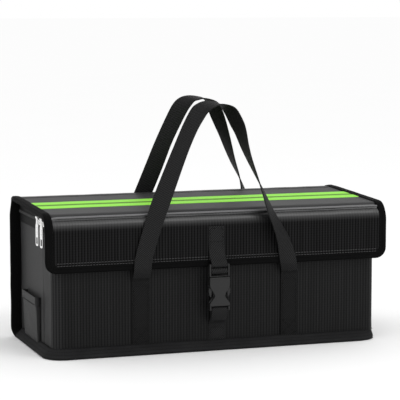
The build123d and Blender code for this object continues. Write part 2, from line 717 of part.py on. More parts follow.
with BuildPart() as buckle_female:
    # Front and back plates with a narrow waist.
    for plate_offset in (BUCKLE_T / 2 - BUCKLE_WALL, -BUCKLE_T / 2):
        with BuildSketch(buckle_sketch(plate_offset)):
            half = BUCKLE_W / 2
            with BuildLine():
                Polyline(
                    (-half, FEMALE_TOP), (-half, WAIST_TOP), (-WAIST_HALF, NECK_TOP_Z),
                    (-WAIST_HALF, NECK_LOW_Z), (-half, WAIST_LOW + 0.5), (-half, WAIST_LOW - 1),
                    (half, WAIST_LOW - 1), (half, WAIST_LOW + 0.5), (WAIST_HALF, NECK_LOW_Z),
                    (WAIST_HALF, NECK_TOP_Z), (half, WAIST_TOP), (half, FEMALE_TOP),
                    close=True,
                )
            make_face()
        extrude(amount=BUCKLE_WALL)
    # Side walls of the socket and the block that carries the strap bar.
    with BuildSketch(buckle_sketch(-BUCKLE_T / 2)):
        with Locations((0, (FEMALE_LOW + WAIST_LOW) / 2)):
            RectangleRounded(BUCKLE_W, WAIST_LOW - FEMALE_LOW, 2.0)
        with Locations((0, LOOP_SLOT_Z)):
            Rectangle(SLOT_W, LOOP_SLOT_H, mode=Mode.SUBTRACT)
        for sign in (-1, 1):
            with Locations((sign * (half - 1.0), (WAIST_TOP + FEMALE_TOP) / 2)):
                Rectangle(BUCKLE_WALL, FEMALE_TOP - WAIST_TOP)
    extrude(amount=BUCKLE_T)
save(buckle_female, "buckle_female")
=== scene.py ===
from bisect import bisect_right
from math import copysign, cos, dist, exp, pi, radians, sin, sqrt, tan

import bpy
from mathutils import Matrix, Vector, noise


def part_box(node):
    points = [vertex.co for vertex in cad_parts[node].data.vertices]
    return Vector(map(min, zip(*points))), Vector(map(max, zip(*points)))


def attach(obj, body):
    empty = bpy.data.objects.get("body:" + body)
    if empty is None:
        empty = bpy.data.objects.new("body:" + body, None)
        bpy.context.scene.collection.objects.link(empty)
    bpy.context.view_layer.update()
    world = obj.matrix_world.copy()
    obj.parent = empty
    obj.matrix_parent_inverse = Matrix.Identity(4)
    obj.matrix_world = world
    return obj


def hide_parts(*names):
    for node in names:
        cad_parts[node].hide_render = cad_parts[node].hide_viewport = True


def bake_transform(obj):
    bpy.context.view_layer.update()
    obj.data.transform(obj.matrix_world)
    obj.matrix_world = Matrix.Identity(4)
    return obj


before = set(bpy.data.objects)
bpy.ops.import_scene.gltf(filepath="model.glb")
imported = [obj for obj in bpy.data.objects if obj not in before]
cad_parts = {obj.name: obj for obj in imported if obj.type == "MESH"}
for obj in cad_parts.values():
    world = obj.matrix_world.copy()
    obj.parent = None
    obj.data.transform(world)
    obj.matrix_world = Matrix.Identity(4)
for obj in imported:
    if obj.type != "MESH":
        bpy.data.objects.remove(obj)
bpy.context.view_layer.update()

# A stiffened fabric storage bag with a zipped lid, a front flap, a side-release buckle and
# two webbing loops. Metres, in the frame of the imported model: +X along the bag to the
# right, -Y to the front, +Z up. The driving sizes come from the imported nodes; small ones are
# given in millimetres.

MM = 0.001
TURN = 2 * pi
SIDES = (("left", -1), ("right", 1))


def low(node):
    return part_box(node)[0]


def high(node):
    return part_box(node)[1]


def middle(node):
    return (low(node) + high(node)) / 2


HEIGHT = high("right_lid_binding").z
FRONT = low("flap_binding").y
BACK = high("wrap_skin").y
FLAP_LOW = low("flap_binding").z
LID_HALF = high("right_lid_binding").x
BODY_HALF = high("wrap_skin").x
LID_REAR = high("top_skin").y
WALL_FRONT = low("front_panel").y
WALL_SEAM = high("front_panel").y
MOUTH = high("front_panel").z
BINDING = high("flap_binding").z - FLAP_LOW
RIM_TOP = high("rim_binding").z
RIM_REAR = high("rim_binding").y
SHOULDER_Z = high("flap_board").z     # the flap hangs straight from here down
SHOULDER_R = 24 * MM
SHOULDER_Y = FRONT + SHOULDER_R
TOP_SLOPE = radians(1.85)
RIDGE = radians(128)                  # where the piping lies on the shoulder arc
BEND_R = 14 * MM                      # fold between the base and the back panel
WALL_CORNER = 12 * MM
FLAP_CORNER = 15 * MM
FABRIC = 1.2 * MM
WALL = 4.6 * MM                       # fabric, board and lining together
WEBBING = 25 * MM
WEBBING_T = 1.8 * MM


# ==== materials ===================================================================
class Signal:
    """An output of a shader node. Sums and products of signals make the nodes for them."""

    def __init__(self, finish, socket):
        self.finish, self.socket = finish, socket

    def math(self, operation, other=0.0):
        """What a math node makes of this signal and another signal or value."""
        node = self.finish.node("ShaderNodeMath", self, other)
        node.operation = operation
        return Signal(self.finish, node.outputs[0])

    def __add__(self, other):
        return self.math("ADD", other)

    def __sub__(self, other):
        return self.math("SUBTRACT", other)

    def __mul__(self, other):
        return self.math("MULTIPLY", other)

    def wave(self, pitch):
        """From 0 to 1 and back once in every pitch."""
        return (self * (TURN / pitch)).math("SINE") * 0.5 + 0.5

    def smooth_range(self, start, end):
        """0 before the start, 1 after the end, and a smooth step between."""
        node = self.finish.node("ShaderNodeMapRange", self, start, end)
        node.interpolation_type = "SMOOTHSTEP"
        return Signal(self.finish, node.outputs["Result"])


class Finish:
    """A Principled material and the pattern nodes that feed it."""

    def __init__(self, name, roughness, specular=0.5, sheen=0.0, metallic=0.0):
        self.material = bpy.data.materials.new(name)
        self.material.use_nodes = True
        self.tree = self.material.node_tree
        self.surface = self.tree.nodes["Principled BSDF"]
        for socket, value in (
            ("Roughness", roughness), ("Specular IOR Level", specular), ("Metallic", metallic),
            ("Sheen Weight", sheen), ("Sheen Roughness", 0.45),
        ):
            self.surface.inputs[socket].default_value = value

    def node(self, kind, *inputs):
        """A new node whose first inputs are fed with signals or set to values."""
        node = self.tree.nodes.new(kind)
        for socket, value in zip(node.inputs, inputs):
            if isinstance(value, Signal):
                self.tree.links.new(value.socket, socket)
            else:
                socket.default_value = value
        return node

    def feed(self, socket, signal):
        """Feed one of the surface's own sockets."""
        self.tree.links.new(signal.socket, self.surface.inputs[socket])

    def cloth_map(self):
        """The piece's own map, in metres."""
        node = self.node("ShaderNodeUVMap")
        node.uv_map = "weave"
        return Signal(self, node.outputs[0])

    def weave(self):
        """Across and along the cloth, in metres."""
        node = self.node("ShaderNodeSeparateXYZ", self.cloth_map())
        return Signal(self, node.outputs[0]), Signal(self, node.outputs[1])

    def plain_weave(self, pitch):
        """Height of a cloth with equal threads both ways."""
        across, along = self.weave()
        return across.wave(pitch) * along.wave(pitch)

    def noise(self, scale, stretch=(1, 1, 1), detail=3.0, place=None):
        """Soft random pattern from 0 to 1, with scale features in a metre of the piece."""
        place = place or Signal(self, self.node("ShaderNodeTexCoord").outputs["Object"])
        mapping = self.node("ShaderNodeMapping", place)
        mapping.inputs["Scale"].default_value = [scale * k for k in stretch]
        node = self.node("ShaderNodeTexNoise", Signal(self, mapping.outputs[0]))
        node.inputs["Scale"].default_value = 1.0
        node.inputs["Detail"].default_value = detail
        return Signal(self, node.outputs["Fac"])

    def weave_noise(self, across, along):
        """Noise that follows the threads: features in a metre across and along them."""
        return self.noise(1.0, (across, along, 1.0), 2.0, self.cloth_map())

    def colour(self, factor, dark, light):
        """Base colour between two, by a factor from 0 to 1."""
        ramp = self.node("ShaderNodeValToRGB", factor)
        ramp.color_ramp.elements[0].color = (*dark, 1)
        ramp.color_ramp.elements[1].color = (*light, 1)
        self.feed("Base Color", Signal(self, ramp.outputs[0]))

    def roughness(self, factor, smooth, rough):
        self.feed("Roughness", factor * (rough - smooth) + smooth)

    def bump(self, height, depth, strength=0.8):
        node = self.node("ShaderNodeBump")
        node.inputs["Strength"].default_value = strength
        node.inputs["Distance"].default_value = depth
        self.tree.links.new(height.socket, node.inputs["Height"])
        self.feed("Normal", Signal(self, node.outputs[0]))


def grey(value, tint=0.0):
    return (value, value, value * (1 + tint))


RIB_PITCH = 4.2 * MM
WEFT_PITCH = 3.4 * MM
COATED_PITCH = 1.1 * MM
FOLD_REACH = 14 * MM                  # how far from a fold its painted highlight fades out


def ribs(cloth):
    """Height of the fine upright ribs with their fainter weft, and streaks along them."""
    across, along = cloth.weave()
    height = across.wave(RIB_PITCH) * 0.8 + along.wave(WEFT_PITCH) * 0.2
    return height, cloth.weave_noise(230, 5)


def ribbed_fabric(name, highlight_at=None):
    """Coated ribbed cloth; at a fold at a place across it, a painted highlight may make it paler.
    """
    cloth = Finish(name, 0.5, specular=0.12)
    height, streak = ribs(cloth)
    shade = height * 0.6375 * (cloth.weave_noise(150, 2) + streak)
    # Painted highlight: the colour is made paler along the fold.
    if highlight_at:
        across, _ = cloth.weave()
        painted_highlight = (across.smooth_range(highlight_at - FOLD_REACH, highlight_at)
                - across.smooth_range(highlight_at, highlight_at + FOLD_REACH))
        shade = shade * (painted_highlight * 1.6 + 1.0)
    cloth.colour(shade, grey(0.0002), grey(0.0185, 0.03))
    cloth.roughness(streak, 0.42, 0.55)
    cloth.bump(height, 0.4 * MM, 0.7)
    return cloth.material


def flap_fabric(ridge):
    """The ribbed cloth again, stretched smooth and glossy for a way past the ridge; there its
    colour is also made paler, a painted highlight.
    """
    cloth = Finish("flap_fabric", 0.5)
    height, streak = ribs(cloth)
    _, along = cloth.weave()
    ribbed = along.smooth_range(ridge + 5 * MM, ridge + 21 * MM)
    polish_and_painted_highlight = ribbed * -1.0 + 1.0
    shade = height * 0.75 * (streak + 0.3)
    # Painted highlight: the colour is made paler over the glossy band.
    painted_highlight = polish_and_painted_highlight * (streak * 0.225 + 0.2025)
    cloth.colour(shade + painted_highlight, grey(0.0003), grey(0.021, 0.03))
    cloth.feed("Specular IOR Level", polish_and_painted_highlight * 0.75 + 0.05)
    cloth.feed("Roughness", ribbed * 0.1 + (streak * 0.1 + 0.33))
    cloth.bump(height * (ribbed * 0.8 + 0.2), 0.4 * MM, 0.7)
    return cloth.material


def smooth_fabric():
    """Tight plain-woven cloth of the ends, dark grey."""
    cloth = Finish("smooth_fabric", 0.6, specular=0.15, sheen=0.03)
    height = cloth.plain_weave(0.9 * MM)
    cloth.colour(cloth.noise(22) * 0.7 + height * 0.3, grey(0.014), grey(0.028, 0.02))
    cloth.bump(height + cloth.noise(90) * 1.5, 0.12 * MM, 0.5)
    return cloth.material


def coated_fabric():
    """Smooth coated cloth of the lid's top."""
    cloth = Finish("coated_fabric", 0.5, specular=0.12)
    cloud = cloth.noise(14)
    cloth.colour(cloud, grey(0.03, 0.02), grey(0.045, 0.02))
    cloth.roughness(cloud, 0.48, 0.6)
    cloth.bump(cloth.plain_weave(COATED_PITCH) * 0.4 + cloth.noise(120), 0.12 * MM, 0.5)
    return cloth.material


def cord_cover_painted_highlight():
    """The coated cloth pulled tight and shiny round a cord; its paler colour is a painted
    highlight along the ridge.
    """
    cloth = Finish("cord_cover_painted_highlight", 0.35, specular=0.6)
    cloud = cloth.noise(300)
    # Paler than the lid's coated cloth: painted highlight.
    cloth.colour(cloud, grey(0.08, 0.02), grey(0.13, 0.02))
    cloth.roughness(cloud, 0.3, 0.4)
    return cloth.material


def lime_fabric():
    """Bright coated tape."""
    cloth = Finish("lime_stripe", 0.55, specular=0.1)
    cloth.colour(cloth.noise(30), (0.27, 0.74, 0.06), (0.31, 0.8, 0.075))
    cloth.bump(cloth.plain_weave(COATED_PITCH) * 0.4 + cloth.noise(120), 0.1 * MM, 0.4)
    return cloth.material


def lime_seam_painted_shade():
    """The sewn fold between the two stripes: the lime cloth darkened with painted shade."""
    cloth = Finish("lime_seam_painted_shade", 0.6, specular=0.2)
    cloth.colour(cloth.noise(200), (0.07, 0.17, 0.015), (0.12, 0.28, 0.025))
    cloth.bump(cloth.noise(700), 0.15 * MM)
    return cloth.material


def binding_tape(name, light):
    """Black edge tape in a fine herringbone."""
    cloth = Finish(name, 0.7, specular=0.04)
    across, along = cloth.weave()
    folded = across.math("PINGPONG", 2.6 * MM)
    column = folded.math("LESS_THAN", 0.25 * MM)
    height = (along + folded).wave(1.9 * MM) - column * 0.5
    cloth.colour(height * 0.6 + cloth.weave_noise(60, 25) * 0.4, grey(0.0002), grey(light, 0.03))
    cloth.bump(height, 0.3 * MM)
    return cloth.material


def webbing(name, light):
    """Woven strap with slanting floats and a finer counter-twill."""
    cloth = Finish(name, 0.6, specular=0.1)
    across, along = cloth.weave()
    twill = (along + across).wave(3.4 * MM)
    counter = (along - across).wave(2.7 * MM)
    height = twill * counter * 1.4 + twill * 0.15
    cloth.colour(height * 0.7 + cloth.weave_noise(420, 420) * 0.3, grey(0.0003),
                 grey(light, 0.02))
    cloth.bump(height, 0.4 * MM)
    return cloth.material


def zip_tape():
    """Fine twill tape of the zip."""
    cloth = Finish("zip_tape", 0.65, specular=0.1)
    across, along = cloth.weave()
    twill = (across + along).wave(1.6 * MM)
    cloth.colour(twill * 0.5 + 0.2, grey(0.001), grey(0.016, 0.02))
    cloth.bump(twill, 0.25 * MM)
    return cloth.material


def glass_fibre():
    """Silver-grey satin-woven fire cloth of the lining."""
    cloth = Finish("glass_fibre", 0.42, specular=0.5, sheen=0.2)
    across, along = cloth.weave()
    checks = (across.wave(1.8 * MM) - along.wave(1.8 * MM)).math("ABSOLUTE")
    cloth.colour(checks * 0.5 + cloth.noise(18) * 0.5, grey(0.2, 0.03), grey(0.5, 0.03))
    cloth.bump(checks + cloth.noise(40) * 2.0, 0.3 * MM, 0.6)
    return cloth.material


def board():
    """Hidden stiffening board with a faint mottle."""
    card = Finish("stiffener_board", 0.8)
    card.colour(card.noise(160), grey(0.16), grey(0.3))
    card.bump(card.noise(900), 0.1 * MM, 0.4)
    return card.material


def thread(name, dark, light):
    """Twisted sewing thread."""
    yarn = Finish(name, 0.6, specular=0.12)
    yarn.colour(yarn.noise(900), grey(dark), grey(light))
    yarn.bump(yarn.noise(2500), 0.08 * MM)
    return yarn.material


def moulded_plastic(name, dark, light, roughness):
    """Injection-moulded plastic with a very fine spark texture."""
    plastic = Finish(name, roughness, specular=0.4)
    cloud = plastic.noise(60)
    plastic.colour(cloud, grey(dark), grey(light, 0.03))
    plastic.roughness(cloud, roughness - 0.06, roughness + 0.1)
    plastic.bump(plastic.noise(1400, detail=2.0), 0.03 * MM, 0.5)
    return plastic.material


def plated_metal():
    """Polished plating with faint handling marks."""
    metal = Finish("zip_metal", 0.18, metallic=1.0)
    smear = metal.noise(220, stretch=(1, 1, 0.25))
    metal.colour(smear, grey(0.72), grey(0.92, -0.01))
    metal.roughness(smear, 0.1, 0.28)
    metal.bump(metal.noise(700), 0.02 * MM, 0.4)
    return metal.material


RIBBED = ribbed_fabric("ribbed_fabric")
SMOOTH = smooth_fabric()
COATED = coated_fabric()
CORD = cord_cover_painted_highlight()
LIME = lime_fabric()
LIME_SEAM_PAINTED_SHADE = lime_seam_painted_shade()
TAPE = binding_tape("binding_tape", 0.006)
RIM_TAPE = binding_tape("rim_tape", 0.034)
WEB = webbing("webbing", 0.03)
SEWN_WEB = webbing("sewn_webbing", 0.016)
# A darker copy of the webbing: painted shade for the loops' inner sides.
SHADED_WEB = webbing("webbing_underside_painted_shade", 0.004)
BUCKLE_WEB = webbing("buckle_webbing", 0.032)
ZIP_TAPE = zip_tape()
GLASS = glass_fibre()
BOARD = board()
GREY_THREAD = thread("grey_thread", 0.035, 0.08)
BLACK_THREAD = thread("black_thread", 0.001, 0.005)
PLASTIC = moulded_plastic("buckle_plastic", 0.0045, 0.009, 0.4)
COIL = moulded_plastic("zip_coil", 0.008, 0.02, 0.3)
METAL = plated_metal()


# ==== lines and meshes ============================================================
def arc(centre, radius, start, end, steps=10):
    """Points of an arc in a plane, angles in radians."""
    sweep = (end - start) / steps
    return [
        (centre[0] + radius * cos(start + i * sweep), centre[1] + radius * sin(start + i * sweep))
        for i in range(steps + 1)
    ]


def circle(radius, steps):
    """Points round a circle about the origin, each once."""
    return arc((0, 0), radius, 0, TURN, steps)[:-1]


class Line2D:
    """A line in a plane, measured by its own length. Its outward side is on its right."""

    def __init__(self, points):
        self.points = points[:1] + [b for a, b in zip(points, points[1:]) if dist(a, b) > 1e-6]
        self.marks = [0.0]
        for a, b in zip(self.points, self.points[1:]):
            self.marks.append(self.marks[-1] + dist(a, b))
        self.length = self.marks[-1]

    def point(self, s):
        """Point at length s; past either end it runs straight on."""
        i = min(max(bisect_right(self.marks, s) - 1, 0), len(self.points) - 2)
        a, b = self.points[i], self.points[i + 1]
        t = (s - self.marks[i]) / (self.marks[i + 1] - self.marks[i])
        return a[0] + (b[0] - a[0]) * t, a[1] + (b[1] - a[1]) * t

    def at(self, s, lift=0.0):
        """Point at length s, moved outward by lift."""
        a = self.point(s - 0.8 * MM)
        b = self.point(s + 0.8 * MM)
        span = dist(a, b)
        here = self.point(s)
        return here[0] + lift * (b[1] - a[1]) / span, here[1] - lift * (b[0] - a[0]) / span

    def find(self, axis, value):
        """Length at which the line first passes a value of one coordinate."""
        for a, b, mark, end in zip(self.points, self.points[1:], self.marks, self.marks[1:]):
            if (a[axis] - value) * (b[axis] - value) <= 0 and a[axis] != b[axis]:
                return mark + (value - a[axis]) / (b[axis] - a[axis]) * (end - mark)
        raise ValueError("the line doesn't pass there")


def spaced(start, end, step):
    """Evenly spaced values from start to end, about a step apart."""
    count = max(1, round(abs(end - start) / step))
    return [start + (end - start) * i / count for i in range(count + 1)]


def add_object(name, data):
    thing = bpy.data.objects.new(name, data)
    bpy.context.scene.collection.objects.link(thing)
    return thing


def finish_mesh(name, vertices, faces, uvs, material, sharp=40.0):
    """A smooth-shaded mesh object; uvs holds one pair for each vertex."""
    mesh = bpy.data.meshes.new(name)
    mesh.from_pydata([tuple(v) for v in vertices], [], faces)
    layer = mesh.uv_layers.new(name="weave")
    for loop in mesh.loops:
        layer.data[loop.index].uv = uvs[loop.vertex_index]
    mesh.materials.append(material)
    mesh.polygons.foreach_set("use_smooth", [True] * len(mesh.polygons))
    mesh.set_sharp_from_angle(angle=radians(sharp))
    mesh.update()
    return add_object(name, mesh)


def sheet(name, us, vs, place, material, thickness=0.0, uv=None):
    """Cloth over a grid: place(u, v) gives each point. Its outer face is on the side of
    u cross v, and its thickness goes to the other side."""
    grid = [(u, v) for v in vs for u in us]
    wide = len(us)
    faces = [
        (r * wide + c, r * wide + c + 1, (r + 1) * wide + c + 1, (r + 1) * wide + c)
        for r in range(len(vs) - 1) for c in range(wide - 1)
    ]
    uvs = [uv(u, v) for u, v in grid] if uv else grid
    piece = finish_mesh(name, [place(u, v) for u, v in grid], faces, uvs, material)
    if thickness:
        solid = piece.modifiers.new("thickness", "SOLIDIFY")
        solid.thickness = thickness
        solid.offset = -1.0
        solid.use_even_offset = True
        graph = bpy.context.evaluated_depsgraph_get()
        thick = bpy.data.meshes.new_from_object(piece.evaluated_get(graph), depsgraph=graph)
        piece.modifiers.clear()
        piece.data = thick
    return piece


def ring_faces(base, rings, sides):
    """Faces between rings of vertices that follow each other, from a base index on."""
    return [
        (
            base + r * sides + k, base + r * sides + (k + 1) % sides,
            base + (r + 1) * sides + (k + 1) % sides, base + (r + 1) * sides + k,
        )
        for r in range(rings - 1) for k in range(sides)
    ]


def sweep(name, stations, section, place, material):
    """A closed section carried along stations: place(station, a, b) gives each point."""
    count, rings = len(section), len(stations)
    girth = [0.0]
    for a, b in zip(section, section[1:]):
        girth.append(girth[-1] + dist(a, b))
    vertices, uvs, run = [], [], 0.0
    for i, station in enumerate(stations):
        ring = [place(station, a, b) for a, b in section]
        if i:
            run += (ring[0] - vertices[-count]).length
        vertices += ring
        uvs += [(g, run) for g in girth]
    caps = [tuple(reversed(range(count))), tuple(range((rings - 1) * count, rings * count))]
    return finish_mesh(name, vertices, ring_faces(0, rings, count) + caps, uvs, material)


def scale_uv(piece, factor):
    """Scale a map's across direction, where a section was given by numbers."""
    for loop in piece.data.uv_layers["weave"].data:
        loop.uv = (loop.uv[0] * factor, loop.uv[1])


def joined(name, pieces):
    """Several meshes of one material made into one piece."""
    vertices, faces, uvs = [], [], []
    for piece in pieces:
        mesh = piece.data
        layer = mesh.uv_layers["weave"].data
        base = len(vertices)
        corner = {loop.vertex_index: tuple(layer[loop.index].uv) for loop in mesh.loops}
        vertices += [tuple(v.co) for v in mesh.vertices]
        uvs += [corner.get(i, (0, 0)) for i in range(len(mesh.vertices))]
        faces += [tuple(base + i for i in polygon.vertices) for polygon in mesh.polygons]
        bpy.data.objects.remove(piece)
    return finish_mesh(name, vertices, faces, uvs, mesh.materials[0])


# A stitch at shares of its length: its girth, and its rise as a share of half its width.
STITCH = ((0.0, 0.35, -0.3), (0.18, 0.9, 0.25), (0.5, 1.0, 0.5), (0.82, 0.9, 0.25),
          (1.0, 0.35, -0.3))
STITCH_SIDES = 5


def stitches(name, runs, material, length=3.0 * MM, gap=1.4 * MM, width=0.75 * MM):
    """Rows of sewing. A run is a function from 0..1 to a point and its normal, with a length."""
    vertices, faces, uvs = [], [], []
    for run, total in runs:
        count = max(1, int(total / (length + gap)))
        for i in range(count):
            start = (i + 0.5) / count - 0.5 * length / total
            a, normal = run(start)
            b, _ = run(start + length / total)
            side = normal.cross((b - a).normalized()).normalized()
            faces += ring_faces(len(vertices), len(STITCH), STITCH_SIDES)
            for t, girth, rise in STITCH:
                centre = a.lerp(b, t) + normal * (rise * width * 0.5)
                for k in range(STITCH_SIDES):
                    angle = TURN * k / STITCH_SIDES
                    offset = (side * cos(angle) + normal * sin(angle) * 0.7) * (girth * width / 2)
                    vertices.append(centre + offset)
                    uvs.append((k * 0.3 * MM, t * length))
    return finish_mesh(name, vertices, faces, uvs, material, sharp=180.0)


def straight_run(start, end, normal):
    """A sewing run along a straight line."""
    start, end, normal = Vector(start), Vector(end), Vector(normal)
    return (lambda t: (start.lerp(end, t), normal)), (end - start).length


def plate(name, outlines, thickness, bevel, material, origin, x_axis, y_axis):
    """A flat plate with rounded edges: the first outline is its edge, the others are holes."""
    curve = bpy.data.curves.new(name, "CURVE")
    curve.dimensions = "2D"
    curve.fill_mode = "BOTH"
    curve.extrude = thickness / 2 - bevel
    curve.bevel_depth = bevel
    curve.bevel_resolution = 2
    curve.offset = -bevel
    for outline in outlines:
        spline = curve.splines.new("POLY")
        spline.points.add(len(outline) - 1)
        for point, (a, b) in zip(spline.points, outline):
            point.co = (a, b, 0, 1)
        spline.use_cyclic_u = True
    shape = add_object(name, curve)
    mesh = bpy.data.meshes.new_from_object(shape)
    bpy.data.objects.remove(shape)
    x_axis, y_axis, origin = Vector(x_axis), Vector(y_axis), Vector(origin)
    z_axis = x_axis.cross(y_axis)
    flat = [v.co.copy() for v in mesh.vertices]
    placed = [origin + x_axis * v.x + y_axis * v.y + z_axis * v.z for v in flat]
    faces = [tuple(p.vertices) for p in mesh.polygons]
    return finish_mesh(name, placed, faces, [(v.x, v.y) for v in flat], material, sharp=35.0)


def rounded(points, radius, steps=5):
    """A closed outline with its corners rounded; radius is one value or one for each corner."""
    radii = radius if hasattr(radius, "__len__") else [radius] * len(points)
    outline = []
    for i, corner in enumerate(points):
        here = Vector(corner)
        before = Vector(points[i - 1]) - here
        after = Vector(points[(i + 1) % len(points)]) - here
        r = min(radii[i], 0.49 * before.length, 0.49 * after.length)
        a = here + before.normalized() * r
        b = here + after.normalized() * r
        for k in range(steps + 1):
            t = k / steps
            outline.append(tuple(a * (1 - t) ** 2 + here * (2 * t * (1 - t)) + b * t * t))
    return outline


def box_outline(x0, y0, x1, y1, radius):
    return rounded([(x0, y0), (x1, y0), (x1, y1), (x0, y1)], radius)


def dent(distance, width):
    """Bell curve: 1 at no distance, fading over the width."""
    return exp(-(distance / width) ** 2)


def ripple(x, y, size, seed=0.0):
    """Smooth random rise and fall, about -1 to 1, with features of a size."""
    return noise.noise(Vector((x / size + seed, y / size - seed, seed * 1.7)))


def smoothstep(t):
    t = min(max(t, 0.0), 1.0)
    return t * t * (3 - 2 * t)


def dressed(piece, body, slot, *nodes):
    """Make a piece ride on a body and hide what it stands for. Its slot is not used."""
    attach(piece, body)
    if nodes:
        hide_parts(*nodes)
    return piece


# ==== lid: one strip of cloth over the top, the shoulder and the flap =============
def shoulder(angle):
    return SHOULDER_Y + SHOULDER_R * cos(angle), SHOULDER_Z + SHOULDER_R * sin(angle)


SLOPE_END = pi / 2 + TOP_SLOPE
foot = shoulder(SLOPE_END)
crest = (foot[0] + (HEIGHT - foot[1]) / tan(TOP_SLOPE), HEIGHT)
lid = Line2D(
    [(LID_REAR, HEIGHT), crest]
    + arc((SHOULDER_Y, SHOULDER_Z), SHOULDER_R, SLOPE_END, pi, 24)
    + [(FRONT, FLAP_LOW)]
)
S_HEM = lid.length
S_CORNER = S_HEM - FLAP_CORNER        # where the flap's two lower corners begin
S_RIDGE = lid.find(0, shoulder(RIDGE)[0])
S_GROOVE = S_RIDGE - 5.5 * MM
S_VALLEY = S_RIDGE + 3.4 * MM
LID_INNER = LID_HALF - BINDING
HEM_HALF = LID_HALF - FLAP_CORNER     # half of the hem's straight part


def lid_relief(x, s):
    """How far the lid's cloth stands off its board: seams pull in, panels puff out."""
    rise = -1.1 * MM * dent(s - S_GROOVE, 2.4 * MM) - 1.1 * MM * dent(s - S_VALLEY, 2.0 * MM)
    inside = smoothstep((LID_INNER - abs(x) + MM) / (8 * MM))
    rise += 0.9 * MM * inside * dent(s - S_RIDGE - 10 * MM, 8 * MM)
    on_top = smoothstep((S_GROOVE - s) / (10 * MM))
    rise += (0.45 - 0.3 * on_top) * MM * ripple(x, s, 60 * MM, 3.0)
    near_hem = dent(s - S_HEM + 13 * MM, 6 * MM) + dent(abs(x) - LID_INNER, 6 * MM)
    rise += 0.35 * MM * near_hem * ripple(x, s, 9 * MM, 8.0)
    near_ridge = dent(s - S_RIDGE - 8 * MM, 8 * MM)
    return rise + 0.4 * MM * inside * near_ridge * ripple(x, 0.0, 14 * MM, 5.0)


def on_lid(x, s, lift=0.0):
    y, z = lid.at(s, lift + lid_relief(x, s))
    return Vector((x, y, z))


def on_lid_plain(x, s, lift=0.0):
    y, z = lid.at(s, lift)
    return Vector((x, y, z))


def lid_normal(s):
    a, b = lid.at(s), lid.at(s, MM)
    return Vector((0, b[0] - a[0], b[1] - a[1])) / MM


def make_lid_covers():
    """The cloth of the top and of the flap, which meet at the piping."""
    tuck = 3 * MM                         # how far the cloth's edges lie inside a tape's edge
    xs = spaced(LID_INNER + tuck, -LID_INNER - tuck, 6 * MM)
    top_s = spaced(0.0, S_RIDGE - 14 * MM, 5 * MM) + spaced(S_RIDGE - 13 * MM, S_RIDGE, 1.1 * MM)
    top = sheet("top_cover", xs, top_s, on_lid, COATED, FABRIC)
    dressed(top, "lid", "coated_fabric", "top_skin")

    def flap_place(x, s):
        """The flap narrows round its two lower corners."""
        past = max(0.0, s - S_CORNER)
        if abs(x) > HEM_HALF and past:
            reach = sqrt(max(0.0, (FLAP_CORNER - tuck) ** 2 - past * past))
            share = (abs(x) - HEM_HALF) / (LID_HALF - tuck - HEM_HALF)
            x = copysign(HEM_HALF + reach * share, x)
        return on_lid(x, s)

    flap_x = spaced(LID_HALF - tuck, -LID_HALF + tuck, 5 * MM)
    flap_s = (spaced(S_RIDGE, S_RIDGE + 12 * MM, 1.2 * MM)
              + spaced(S_RIDGE + 15 * MM, S_HEM - 4 * MM, 3 * MM))
    flap = sheet("flap_cover", flap_x, flap_s, flap_place, flap_fabric(S_RIDGE), FABRIC)
    dressed(flap, "lid", "ribbed_fabric", "flap_skin")
    for piece, first, last in ((top, 0.0, S_RIDGE), (flap, S_RIDGE, S_HEM)):
        last - first


def make_stripes():
    """Two bright stripes with their inner edges turned down into one sewn fold."""
    fold = LID_REAR - (high("front_stripe").y + low("rear_stripe").y) / 2
    half = (low("rear_stripe").y - high("front_stripe").y) / 2
    for place, s_out, toward in (
        ("rear", LID_REAR - high("rear_stripe").y, 1),
        ("front", LID_REAR - low("front_stripe").y, -1),
    ):
        width = abs(fold - s_out) - half + 0.4 * MM

        def stripe_place(x, t, s_out=s_out, toward=toward, width=width):
            edge_in = smoothstep((width - t) / (2.0 * MM))
            edge_out = smoothstep(t / (1.2 * MM))
            rise = 0.5 * MM * edge_in * edge_out + 0.1 * MM * ripple(x, t, 40 * MM, 6.0)
            return on_lid(x, s_out + toward * t, rise)

        ts = sorted({*spaced(0, 2.4 * MM, 0.6 * MM), *spaced(4 * MM, width - 4 * MM, 5 * MM),
                     *spaced(width - 2.4 * MM, width, 0.4 * MM)})
        xs = spaced(toward * LID_INNER, -toward * LID_INNER, 8 * MM)
        tape = sheet(f"{place}_stripe_tape", xs, ts, stripe_place, LIME)
        dressed(tape, "lid", "lime_stripe", f"{place}_stripe")

    section = [(-half, 0.1 * MM), (half, 0.1 * MM), (half - MM, 0.5 * MM), (0.8 * MM, 0.55 * MM),
               (0, 0.25 * MM), (-0.8 * MM, 0.55 * MM), (MM - half, 0.5 * MM)]
    # The fold's dark green is painted shade of the lime cloth.
    seam = sweep("stripe_seam", spaced(-LID_INNER, LID_INNER, 8 * MM), section,
                 lambda x, a, b: on_lid(x, fold + a, b), LIME_SEAM_PAINTED_SHADE)
    dressed(seam, "lid", "lime_stripe")


def make_piping():
    """Cord covered in the lid's cloth, sewn between the top and the flap."""
    def piping_place(x, a, b):
        """The cord wanders a little, and its two ends are tucked under the edge tapes."""
        wander = 0.2 * MM * ripple(x, 0, 25 * MM, 2.0)
        tucked = 1.4 * MM * smoothstep((abs(x) - LID_INNER + 6 * MM) / (6 * MM))
        return on_lid_plain(x, S_RIDGE + a + wander, b + 1.2 * MM - tucked)

    reach = LID_INNER + 0.5 * MM
    cord = sweep("ridge_cord", spaced(-reach, reach, 4 * MM), circle(1.5 * MM, 12), piping_place,
                 CORD)
    dressed(cord, "lid", "piping", "ridge_piping")


# Lengths along the lid's bound edge: one side with its corner, and all of it.
EDGE_SIDE = S_CORNER + FLAP_CORNER * pi / 2
EDGE_ALL = 2 * (EDGE_SIDE + HEM_HALF)


